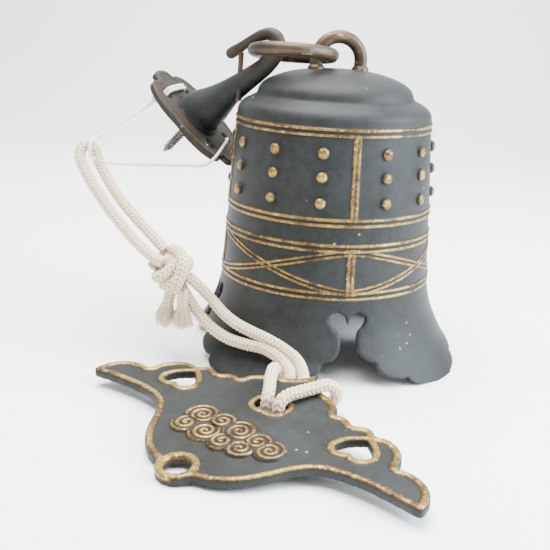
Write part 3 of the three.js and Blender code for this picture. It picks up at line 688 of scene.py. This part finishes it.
# ---- bell
SKIRT = [(118.5, 0), (114.6, 4), (107.8, 12), (101.8, 20), (95.6, 32), (91, 42.5), (87.6, 55), (86, 64)]
WALL = [(86, 64), (85.6, 65.2), (85.6, 71.3), (83.3, 101.1), (83.3, 107.5), (82.4, 120.2), (82.4, 126.6),
        (78, 185.6), (78, 192), (77.4, 197)]
SHOULDER = [(77.4, 197), (76.6, 199), (74.6, 201.8), (70.6, 204.6), (66, 206.9), (63.4, 208.2)]
DOME = [(63.4, 208.2), (62.5, 209.6), (61.6, 212.6), (59.6, 216), (55.6, 219.4), (50, 222.2), (41, 225.4),
        (30, 227.9), (16, 229.5), (0.02, 230)]
INNER = [(114.6, 0), (104, 12), (98, 20), (91.8, 32), (83.6, 55), (81.5, 68)]
INNER_UPPER = [(81.5, 68), (78.4, 126), (73.6, 196), (68, 202), (59.5, 205), (57, 211), (46, 220), (30, 224),
               (0.02, 226)]
SEAM_Z = 60.0  # below this the shell is filled round its openings
QUARTER = 150  # columns in a quarter
BAND_TOPS = [192, 126.6, 107.5, 71.3]
BOSS_ROWS = [173.8, 156.4, 137.5]
BOSS_COLUMNS = [-27.3, 0, 27.3]

# Half of the opening between two feet, [degrees from the strap, height], in stretches that meet at cusps.
CUT_STRETCHES = [
    [(0, 46), (2, 53), (5.6, 55.4), (8.6, 53), (9.4, 49.4), (7.6, 44.8), (5, 40.8), (4, 35.6), (4.1, 30),
     (5, 25.4), (7.4, 22), (12.2, 19.2)],
    [(12.2, 19.2), (12.3, 15.6), (14, 11.8), (18.4, 8.6), (23, 7.2), (25.4, 7.6)],
    [(25.4, 7.6), (26.4, 4.6), (29.6, 2.2), (34, 0.9), (38, 0)],
]
ARC = 1.75  # millimetres to a degree, as wide as the skirt is on average
WALL_ARC = 1.44  # the same for the wall


def round_bell(radius, angle, z):
    """Points at these angles from the front of the bell."""
    return np.stack([radius * np.sin(angle), -radius * np.cos(angle), np.broadcast_to(z, radius.shape)], -1)


def radius_of(profile, z):
    fine = catmull(profile)
    order = np.argsort(fine[:, 1])
    return np.interp(z, fine[order, 1], fine[order, 0])


def wall_relief(angle, z):
    """Height of the raised bands, straps and crossed lines; the angle is measured from a strap."""
    arc = np.abs((angle + 45) % 90 - 45) * WALL_ARC
    h = np.zeros(np.broadcast(angle, z).shape)
    for top in BAND_TOPS:
        for line in (top - 1.1, top - 5.5):
            h = np.maximum(h, 1.05 * ridge(z - line, 1.25))
    for low, high in ((125, 187), (70, 102)):
        on_strap = np.clip((z - low) / 1.5, 0, 1) * np.clip((high - z) / 1.5, 0, 1)
        lines = np.maximum(1.1 * ridge(arc - 1.75, 1.25), 0.45 * (arc < 1.8))
        h = np.maximum(h, lines * on_strap)
    share = (angle % 90) / 90
    bow = 0.45 * share + 0.55 * share * share * (3 - 2 * share)
    for level in (101.5 - 31 * bow, 70.5 + 31 * bow):
        for line in (level + 1.7, level - 1.7):
            h = np.maximum(h, 0.85 * ridge(z - line, 1.15) * ((z > 65) & (z < 107)))
    return h


def upper_bell():
    """The shell above the feet, outside and inside, as one closed skin open at the seam."""
    skirt = catmull(SKIRT)
    skirt = skirt[skirt[:, 1] >= SEAM_Z]
    low = [(float(radius_of(SKIRT, SEAM_Z)), SEAM_Z)]
    outside = np.vstack([low, even(skirt, 1.2), even(WALL, 0.62)[1:], even(catmull(SHOULDER), 1.2)[1:],
                         even(catmull(DOME), 1.6)[1:]])
    inside_low = [(float(radius_of(INNER, SEAM_Z)), SEAM_Z)]
    inner = np.vstack([inside_low, even(INNER_UPPER, 4.0)])
    columns = 4 * QUARTER
    angle = np.arange(columns) * 360 / columns
    a = np.radians(angle) + BELL_TURN
    h = wall_relief(angle[None], outside[:, 1:])
    r = outside[:, :1] + h
    out = round_bell(r, a, outside[:, 1:]).reshape(-1, 3)
    r = np.broadcast_to(inner[:, :1], (len(inner), columns))
    inn = round_bell(r, a, inner[:, 1:]).reshape(-1, 3)
    outer_faces = grid_faces(len(outside), columns)
    inner_faces = [f[::-1] for f in grid_faces(len(inner), columns)]
    return join((out, outer_faces), (inn, inner_faces)), np.r_[h.ravel() / 1.05, np.zeros(len(inn))]


def cut_line():
    """The opening's outline, from one floor corner over its heart to the other, in flattened millimetres."""
    half = np.vstack([even(catmull(s), 1.0)[:-1] for s in CUT_STRETCHES] + [[CUT_STRETCHES[-1][-1]]])
    half = half[1:]
    whole = np.vstack([half[::-1] * [-1, 1], [[0, 46]], half])
    return whole * [ARC, 1]


def foot_shell(quarter):
    """A quarter of the skirt: the two half feet beside an opening."""
    edge = 45 * ARC
    top = np.column_stack([np.linspace(edge, -edge, QUARTER + 1), np.full(QUARTER + 1, SEAM_Z)])
    side = np.linspace(SEAM_Z, 0, 40)[1:-1]
    left = np.column_stack([np.full(len(side), -edge), side])
    corner = CUT_STRETCHES[-1][-1][0] * ARC
    floor = np.column_stack([np.linspace(-edge, -corner, 9)[:-1], np.zeros(8)])
    mirror = [-1, 1]
    outline = np.vstack([top, left, floor, cut_line(), floor[::-1] * mirror, left[::-1] * mirror])

    def lay(flat, radius):
        a = np.radians(flat[:, 0] / ARC) + BELL_TURN + quarter * pi / 2
        return round_bell(radius, a, flat[:, 1])

    cut = np.vstack([cut_line(), [[60, -40], [-60, -40]]])  # closed well below the floor

    def front(flat, _):
        drop = rounded(distance(flat, cut), 1.1)
        return lay(flat, radius_of(SKIRT, flat[:, 1]) - drop)

    def back(flat, _):
        return lay(flat, radius_of(INNER, flat[:, 1]))

    def seam(a, b):
        return min(a[1], b[1]) > SEAM_Z - 1e-4 or min(abs(a[0]), abs(b[0])) > edge - 1e-4

    return casting(outline, [], 1.7, front, back, open_edge=seam)[0]


def bosses():
    """Thirty-six rounded studs, their tops rubbed to gold."""
    t = np.linspace(0, 1, 9)
    dome = [(4.5 * cos(x) ** 0.8 + 0.02, 0.2 + 3.7 * sin(x)) for x in t * (pi / 2)]
    profile = [(5.0, -1.0), (4.9, 0.1), *dome]
    stud = lathe(profile, 20)
    worn = np.repeat(np.clip((np.array(profile)[:, 1] - 1.0) / 2.6, 0, 0.86), 20)
    parts, marks = [], []
    for quarter in range(4):
        for column in BOSS_COLUMNS:
            a = BELL_TURN + radians(45 + column + 90 * quarter)
            for z in BOSS_ROWS:
                r = np.interp(z, [126.6, 185.6], [82.4, 78]) - 0.2
                turn = Matrix.Rotation(a - pi / 2, 4, "Z") @ Matrix.Rotation(pi / 2, 4, "Y")
                tilt = RNG.uniform(0.94, 1.05)
                part = (stud[0] * [tilt, 1, RNG.uniform(0.94, 1.0)], stud[1])
                parts.append(moved(part, at(r * sin(a), -r * cos(a), z) @ turn))
                marks.append(worn)
    return join(*parts), np.concatenate(marks)


def weld(o, gap=0.00001):
    """Joins points that coincide, so that shading runs on over a seam."""
    b = bmesh.new()
    b.from_mesh(o.data)
    bmesh.ops.remove_doubles(b, verts=b.verts, dist=gap)
    b.to_mesh(o.data)
    b.free()


def bell():
    """The cast shell: wall and dome, the four feet, and the studs."""
    body, relief = upper_bell()
    feet = [foot_shell(q) for q in range(4)]
    studs, worn = bosses()
    count = sum(len(f[0]) for f in feet)
    whole = join(body, *feet, studs)
    marks = {"relief": np.r_[relief, np.zeros(count), worn]}
    o = put("bell", whole, PAINT, "bell", ["bell_shell"], marks, angle=None)
    weld(o)
    o.data.set_sharp_from_angle(angle=radians(48))


bell()


# ---- crown loop, strap and nuts
SPAN = 17.9
SPRING_Z = 236.4
LOOP_BAR = 5.1
LOOP_FRAME = at(ARCH_X, 0, 0) @ Matrix.Rotation(BELL_TURN, 4, "Z")
COLLAR = [(0.02, 227.4), (6.6, 227.4), (6.7, 230.6), (6.2, 231.4), (5.4, 232.2), (5, 233.4), (0.02, 233.6)]
SHANK = [(0.02, 206.8), (3.3, 206.8), (4, 207.6), (4, 228), (0.02, 228)]
STRAP_FACES = (222.2, 218.2)  # heights of the two faces of the strap inside the dome
LUG_HALF = 2  # half the lug's thickness
LUG_EYE = 210  # height of the hole in the lug
WASHER = [(4.4, 216.3), (7.2, 216.3), (7.6, 216.7), (7.6, 217.5), (7.2, 217.9), (4.4, 217.9), (4.4, 216.3)]


def crown_loop():
    """The bar's arch, a collar at each foot, and the shanks through the dome."""
    arch = [(SPAN * cos(a), 0, SPRING_Z + SPAN * sin(a)) for a in np.linspace(pi, 0, 40)]
    path = even([(-SPAN, 0, 228.6)] + arch + [(SPAN, 0, 228.6)], 0.9)
    bar = sweep(path, lambda turn, along: LOOP_BAR * (1 - 0.02 * np.cos(4 * np.pi * turn)), 36)
    parts = [bar]
    for side in (-1, 1):
        for profile in (COLLAR, SHANK):
            parts.append(moved(lathe(profile, 32), at(side * SPAN, 0, 0)))
    put("crown_loop_casting", moved(join(*parts), LOOP_FRAME), BRONZE, "bell", ["crown_loop"])


def hanger():
    """The strap under the dome, with its lug, and the washer and nut on each leg of the loop."""
    turns = np.linspace(-pi / 2, pi / 2, 18)
    end = [(19 + 8 * cos(a), 8 * sin(a)) for a in turns]
    bar = np.array(end + [(-x, -y) for x, y in end])
    high, low = STRAP_FACES

    def top(flat, d):
        return np.column_stack([flat, high - rounded(d, 0.7)])

    def under(flat, d):
        return np.column_stack([flat, low + rounded(d, 0.7)])

    holes = [circle(4.3, 24, SPAN), circle(4.3, 24, -SPAN)]
    strip = casting(even(bar, 1.2, closed=True), holes, 1.5, top, under)[0]
    bottom = [(-6 * cos(a), LUG_EYE - 6 * sin(a)) for a in np.linspace(0, pi, 16)]
    lug = even([(-6, 218.6), (-6, LUG_EYE), *bottom, (6, 218.6)], 1.0, closed=True)

    def near(flat, d):
        return np.column_stack([flat[:, 0], rounded(d, 0.6) - LUG_HALF, flat[:, 1]])

    def far(flat, d):
        return np.column_stack([flat[:, 0], LUG_HALF - rounded(d, 0.6), flat[:, 1]])

    tab = casting(lug, [circle(3.4, 24, 0, LUG_EYE)], 1.2, near, far)[0]
    put("hanger", moved(join(strip, tab), LOOP_FRAME), STEEL, "bell", ["hanger_strap"])
    for side, label in ((-1, "left"), (1, "right")):
        place = LOOP_FRAME @ at(side * SPAN, 0, 0)
        put(f"washer_{label}", moved(lathe(WASHER, 40), place), STEEL, "bell", [f"loop_washer_{label}"])
        nut = prism(6, 7.4, 209.6, 216, 0.8)
        put(f"nut_{label}", moved(nut, place), STEEL, "bell", [f"loop_nut_{label}"])


crown_loop()
hanger()


# ---- clapper
LINK_TOP = 208.8
LINK_DROP = 16
LINK_BEND = 6


def clapper():
    """The chain link, the stem with its eye, the ball and the two nuts that hold it."""
    low = LINK_DROP - 2 * LINK_BEND
    oval = []
    for a in np.linspace(0, 2 * pi, 48, endpoint=False):
        z = LINK_BEND * sin(a)
        oval.append((0, LINK_BEND * cos(a), LINK_TOP - LINK_BEND + (z - low if z < -0.01 else z)))
    link = sweep(even(oval, 0.8, closed=True), 1.65, 16, closed=True)
    put("link", moved(link, LOOP_FRAME), STEEL, "link", ["clapper_link"])
    eye_z = LINK_TOP - LINK_DROP
    eye = [(x, 0, z) for x, z in circle(4.6, 40, 0, eye_z - 0.9)]
    thread = [(0.02, 61), (2.2, 61)]
    thread += [(3.0 if i % 2 else 2.6, 61.8 + i * 0.45) for i in range(26)]
    thread += [(3, 74), (3, eye_z - 9.5), (3.4, eye_z - 7.4), (3.0, eye_z - 5.6), (0.02, eye_z - 5.4)]
    rod = join(sweep(eye, 1.9, 16, closed=True), lathe(thread, 24))
    put("clapper_stem", moved(rod, LOOP_FRAME), STEEL, "clapper", ["clapper_rod"])
    ball = [(3.3, 70)] + [(16.9 * cos(a), 86 + 16.9 * sin(a)) for a in np.linspace(-1.33, 1.33, 40)]
    ball += [(3.3, 102), (3.3, 70)]
    put("striker", moved(lathe(ball, 64), LOOP_FRAME), BRONZE, "clapper", ["clapper_ball"])
    for name, z0, node in (("stem_nut", 103.1, "clapper_nut"), ("stem_nut_low", 64, "clapper_lower_nut")):
        put(name, moved(prism(6, 5.6, z0, z0 + 4.9, 0.6), LOOP_FRAME), STEEL, "clapper", [node])


clapper()


# ---- hanging ring and bracket
RING_BAR = 5.3


def hanging_ring():
    """The loose ring, its bar a little uneven as it was cast."""
    turn = Matrix.Rotation(radians(1.2), 4, "Y") @ Matrix.Rotation(-radians(7.3), 4, "X")
    a = np.linspace(0, 2 * np.pi, 220, endpoint=False)
    path = np.column_stack([31 * np.cos(a), 31 * np.sin(a), np.zeros(220)])

    def bar(around, along):
        return RING_BAR * (1 + 0.012 * np.sin(along / 9) + 0.01 * np.cos(4 * np.pi * around))

    ring = sweep(path, bar, 40, closed=True)
    put("hanging_ring", moved(ring, at(-35.3, 0, 240.2) @ turn), BRONZE, "ring", ["link_ring"])


ARM_PLAN = (0.912, -0.4104)
ARM = [(13.6, 193.2, 16.2), (28, 204, 11.4), (41.1, 213.2, 9.3), (50.2, 219.4, 8.4), (63.5, 229.2, 7.3),
       (70.5, 237.1, 6.9), (73.7, 244.9, 6.3), (72, 250.9, 5.8), (66.5, 253.7, 5.2), (59.3, 252.6, 4.5),
       (51.6, 249.5, 3.8), (43.6, 244.6, 3.9), (35.4, 239.6, 4.2), (30.1, 236.4, 4.2)]


def hook_frame():
    """The hook's vertical plane: x from the wall plate to the bell, z up."""
    x = Vector((*ARM_PLAN, 0)).normalized()
    return framed((BASE[0], BASE[1], 0), x, Vector((-x.y, x.x, 0)), Vector((0, 0, 1)))


def hook_arm():
    """The tapering arm, turned over into the hook, its root cut flat on the wall plate."""
    normal = plate_frame().to_3x3().col[2]
    x = Vector((*ARM_PLAN, 0)).normalized()
    n = Vector((normal.dot(x), normal.z)).normalized()
    foot = [(n.x * d, BASE[2] + n.y * d, r) for d, r in ((-4, 21), (0, 20), (5, 18.4))]
    rows = np.array(foot + ARM)
    curve = catmull(np.column_stack([rows[:, 0], np.zeros(len(rows)), rows[:, 1], rows[:, 2]]), 16)
    s = distances(curve[:, :3])
    stop = s[-1]
    path = even(curve[:, :3], 0.9)
    tip = [(stop + 1.6, 0.86), (stop + 2.8, 0.6), (stop + 3.4, 0.2)]
    end = path[-1] + np.outer([t - stop for t, _ in tip], path[-1] - path[-2]) / 0.9
    path = np.vstack([path, end])

    def girth(turn, along):
        base = np.interp(along, s, curve[:, 3])
        close = np.interp(along, [stop, *[t for t, _ in tip]], [1, *[f for _, f in tip]])
        bulb = 1 + 0.12 * np.exp(-(((along - stop + 3) / 4) ** 2))
        uneven = 1 - 0.012 * np.sin(2 * np.pi * turn * 3 + along / 14)
        return np.minimum(base * close * bulb, base + 0.4) * uneven

    points, faces = sweep(path, girth, 48)
    along = np.repeat(distances(path), 48)
    to_hook = hook_frame()
    world = np.asarray(points) @ np.array(to_hook.to_3x3()).T + np.array(to_hook.translation)
    local = np.linalg.inv(np.array(plate_frame()))
    depth = world @ local[2, :3] + local[2, 3]
    low = depth < -0.3
    world[low] -= np.outer(depth[low] + 0.3, np.array(normal))
    tone = np.clip((along - 62) / 45, 0, 1) * 0.9
    marks = {"tone": tone, "relief": np.zeros(len(tone))}
    put("hook", (world, faces), PAINT, "bracket", ["hook_arm"], marks, angle=60)


def keeper():
    """The pin that closes the hook."""
    low, high = Vector((43.3, -7.5, 201)), Vector((40.5, 0, 238))
    axis = (high - low).normalized()
    length = (high - low).length
    pin = [(0.02, -1), (1.6, -1), (2.5, -0.5), (2.8, 0.2), (2.8, 1), (2.2, 1.5), (2.15, length * 0.5),
           (2.2, length), (0.02, length)]
    turn = axis.to_track_quat("Z", "Y").to_matrix().to_4x4()
    part = moved(lathe(pin, 24), hook_frame() @ at(*low) @ turn)
    put("keeper", part, BRONZE, "bracket", ["keeper_pin"])


PLATE_QUARTER = [(51, 0), (50.2, 6), (47.6, 10.8), (42.2, 13.2), (42.6, 19), (39.4, 26), (32, 31.6),
                 (22, 35.2), (11, 36.4), (0, 35.6)]
HEART_HALF = [(0, -1), (0.46, -0.64), (0.86, -0.2), (1, 0.24), (0.84, 0.56), (0.5, 0.68), (0.18, 0.58),
              (0, 0.4)]
HOLE_AT = (27.8, 16.3)


def heart(half, x, y, turn=0.0, step=0.7):
    """A heart's outline, of the given half width, its cusp up."""
    left = catmull(HEART_HALF)
    whole = np.vstack([left, (left * [-1, 1])[::-1][1:-1]]) * half
    c, s = cos(turn), sin(turn)
    return even(whole @ np.array([[c, s], [-s, c]]) + [x, y], step, closed=True)


def slot_hole(x, y, half_length, half_width):
    """Outline of a slot with round ends."""
    a = np.linspace(-pi / 2, pi / 2, 10)
    end = np.column_stack([half_length - half_width + half_width * np.cos(a), half_width * np.sin(a)])
    return even(np.vstack([end, -end]) + [x, y], 0.8, closed=True)


def wall_plate():
    """A barrel-shaped plate, its rim standing a little proud, with slots, hearts and the screw's hole."""
    upper = PLATE_QUARTER + [(-a, b) for a, b in PLATE_QUARTER[-2::-1]]
    outline = upper + [(a, -b) for a, b in upper[-2:0:-1]]
    outline = even(catmull(outline, 8, closed=True), 1.1, closed=True)
    holes = [circle(4.3, 30)]
    for end in (-1, 1):
        holes.append(slot_hole(end * HOLE_AT[0], HOLE_AT[1], 5.6, 2.6))
        holes.append(heart(5.4, end * HOLE_AT[0], -HOLE_AT[1]))
    edge = []

    def front(flat, d):
        rim = distance(flat, outline)
        edge.append(rim)
        h = -rounded(d, 0.9) - 0.5 * np.clip((rim - 3.6) / 1.2, 0, 1)
        return np.column_stack([flat, h])

    def back(flat, d):
        return np.column_stack([flat, -PLATE_THICK + rounded(d, 0.5)])

    part, flat, _ = casting(outline, holes, 1.2, front, back)
    relief = np.clip(1 - np.abs(edge[0] - 2.2) / 2.2, 0, 1) * 0.45
    marks = {"relief": np.r_[relief, np.zeros(len(flat))], "tone": np.full(2 * len(flat), 0.5)}
    put("bracket_plate", moved(part, plate_frame()), PAINT, "bracket", ["wall_plate"], marks)


def lag_screw():
    """Shank with a true helical thread that runs out into the point."""
    length, pitch = 42, 2.9
    rings, sides = 561, 40
    tip = -PLATE_THICK - length
    z = np.linspace(0, length, rings)[:, None]
    turn = np.arange(sides)[None] / sides
    saw = (z / pitch - turn) % 1.0
    core = np.interp(z, [0, 6, 34, 42], [0.2, 2.6, 3.0, 3.3])
    crest = np.interp(z, [0, 7, 30, 35], [0.3, 1.25, 1.05, 0.0])
    r = core + crest * np.clip(1 - np.abs(saw - 0.5) * 3.2, 0, 1)
    z = np.broadcast_to(z, r.shape)
    a = 2 * np.pi * turn
    points = np.stack([r * np.cos(a), r * np.sin(a), tip + z], -1).reshape(-1, 3)
    shank = lathe([(3.3, -PLATE_THICK), (3.9, -PLATE_THICK + 0.5), (3.9, 13), (0.02, 13.4)], 30)
    screw = join((points, grid_faces(rings, sides)), shank)
    put("screw", moved(screw, plate_frame()), STEEL, "bracket", ["lag_screw"])


hanging_ring()
hook_arm()
keeper()
wall_plate()
lag_screw()


# ---- sail plate
SAIL_HALF = [(0, -13.6), (7.5, -11.6), (12.6, -6.2), (15.4, -2.8), (20, -1.4), (26, 0.6), (33.5, 5),
             (40.5, 11.2), (47, 19.2), (52.2, 27.6), (57, 35.6), (62, 42), (67.6, 46.8), (74.4, 50),
             (83, 51.8), (96, 52.8), (110, 52.4), (123, 51.2), (136.6, 50.4), (137.2, 57), (134.6, 64.8),
             (129, 71.6), (121.6, 75.6), (113.4, 77.2), (105.6, 77.2), (103.4, 85), (99, 92), (92.4, 97),
             (84.8, 99.2), (77.4, 98), (72.6, 101.8), (66.6, 102.8), (57.8, 100), (53, 103.4),
             (47.4, 104.8), (41, 104.2), (38.8, 110.4), (33.4, 115.4), (25, 119.6), (14, 123.4),
             (6.4, 128.6), (2, 135), (0, 142)]
SCROLL_EDGE = [(-40, 50), (-33, 60.6), (-16, 58), (2, 59), (20, 56.4), (36, 54.6), (44, 44), (34, 34),
               (21, 27), (0, 28.8), (-22, 29.6), (-34, 40)]
# Cloud scrolls: across, up, radius, and which way each winds.
SCROLLS = [(-27.4, 51, 11.4, 1), (-29, 37, 9, -1), (-11, 52, 9, -1), (-12.4, 37.4, 10.4, 1),
           (6, 49.6, 11.4, 1), (4.4, 34.6, 8.4, -1), (22.6, 47.6, 9.4, -1), (18.6, 35.4, 8.6, 1),
           (35.6, 43.6, 9, 1)]
COIL = 4.3  # from one turn of a scroll to the next


def scroll_height(flat):
    """Height of the carved clouds, each point on its nearest scroll, and how much of each is rubbed."""
    centres = np.array([[x, y] for x, y, _, _ in SCROLLS])
    radius = 1.2 * np.array([r for _, _, r, _ in SCROLLS])
    way = np.array([w for _, _, _, w in SCROLLS])
    offset = flat[:, None] - centres
    r = np.hypot(offset[..., 0], offset[..., 1])
    owner = np.argmin(r / radius, axis=1)
    rows = np.arange(len(flat))
    near = r[rows, owner]
    turn = np.arctan2(offset[rows, owner, 1], offset[rows, owner, 0]) / (2 * np.pi)
    wave = 0.5 + 0.5 * np.cos(2 * np.pi * (near / COIL - way[owner] * turn))
    others = np.sort(r / radius, axis=1)
    seam = np.clip((others[:, 1] - others[:, 0]) * 6, 0, 1)
    rim = np.clip((radius[owner] - near) / 1.1, 0, 1)
    crown = wave**0.8 * seam
    return rim * (0.9 + 0.25 * (owner % 3) + 1.35 * crown), rim * (0.05 + 0.9 * crown**1.5)


def sail_plate():
    """The cloud-shaped plate: raised gold edges round its outline and holes, and the carved scrolls."""
    half = catmull(SAIL_HALF, 8)
    outline = even(np.vstack([half, (half * [-1, 1])[::-1][1:-1]]), 1.1, closed=True)
    hole = circle(8.6, 48)
    unit = circle(1, 48)
    squared = np.sign(unit) * np.abs(unit) ** (2 / 3)
    eye = even(squared * [11.5, 7.8] + [0, 88.2], 1.0, closed=True)
    hearts = [heart(12.4, side * 74.8, 78.6, pi, 1.0) for side in (-1, 1)]
    scroll = catmull(SCROLL_EDGE, 8, closed=True)
    worn = []

    def front(flat, d):
        border = 1.5 * ridge(distance(flat, outline) - 2.5, 2.5)
        for loop in hearts:
            border = np.maximum(border, 1.5 * ridge(distance(flat, loop) - 2.4, 2.4))
        border = np.maximum(border, 1.2 * ridge(distance(flat, eye) - 2.2, 2.2))
        ring = distance(flat, hole)
        ring_rim = 1.5 * np.clip((5.4 - ring) / 0.8, 0, 1) * np.clip(ring / 0.6 + 0.4, 0, 1)
        border = np.maximum(border, ring_rim)
        clouds, rubbed = scroll_height(flat)
        worn.append(np.maximum(np.clip(border / 1.1, 0, 1), rubbed))
        return np.column_stack([flat, np.maximum(border, clouds) - 0.7 - rounded(d, 0.7) * 0.4])

    def back(flat, d):
        return np.column_stack([flat, -SAIL_THICK + rounded(d, 0.9)])

    middle = scroll.mean(0)
    region = middle + (scroll - middle) * 1.14
    part, flat, _ = casting(outline, [hole, eye, *hearts], 1.1, front, back, fine=(region, 0.55))
    marks = {"relief": np.r_[worn[0], np.zeros(len(flat))], "tone": np.zeros(2 * len(flat))}
    put("sail", moved(part, sail_frame()), PAINT, "sail", ["sail_plate"], marks, angle=50)


sail_plate()


# ---- stage and light
def stage():
    """A white sweep: floor, curve and wall."""
    profile = [(-3.0, 0.0), (1.2, 0.0)]
    profile += [(1.2 + 0.8 * sin(a), 0.8 - 0.8 * cos(a)) for a in np.linspace(0.1, pi / 2, 16)]
    profile += [(2.0, 4.0)]
    points = [(x, y, z) for y, z in profile for x in (-4.0, 4.0)]
    faces = [(2 * i, 2 * i + 1, 2 * i + 3, 2 * i + 2) for i in range(len(profile) - 1)]
    mesh = bpy.data.meshes.new("sweep")
    mesh.from_pydata(points, [], faces)
    mesh.polygons.foreach_set("use_smooth", [True] * len(faces))
    n = Nodes("sweep")
    mesh.materials.append(n.finish(Base_Color=(0.97, 0.97, 0.97), Roughness=0.6))
    o = bpy.data.objects.new("sweep", mesh)
    bpy.context.scene.collection.objects.link(o)


def lamp(name, place, aim, size, power, color):
    data = bpy.data.lights.new(name, "AREA")
    data.shape = "RECTANGLE"
    data.size, data.size_y = size
    data.energy = power
    data.color = color
    o = bpy.data.objects.new(name, data)
    o.location = place
    o.rotation_mode = "QUATERNION"
    o.rotation_quaternion = (Vector(place) - Vector(aim)).to_track_quat("Z", "Y")
    bpy.context.scene.collection.objects.link(o)


def light():
    world = bpy.data.worlds.new("studio")
    world.use_nodes = True
    world.node_tree.nodes["Background"].inputs["Color"].default_value = (0.93, 0.96, 1.0, 1.0)
    world.node_tree.nodes["Background"].inputs["Strength"].default_value = 0.65
    bpy.context.scene.world = world
    lamp("window", (1.05, -0.15, 0.6), (0, 0, 0.1), (0.9, 0.8), 60, (0.80, 0.90, 1.0))
    lamp("ceiling", (-0.1, 0.1, 1.6), (0, 0, 0.1), (1.5, 1.5), 145, (1.0, 0.99, 0.97))
    lamp("fill", (-1.2, -1.0, 0.8), (0, 0, 0.12), (1.0, 0.8), 5, (1.0, 0.95, 0.88))


stage()
light()
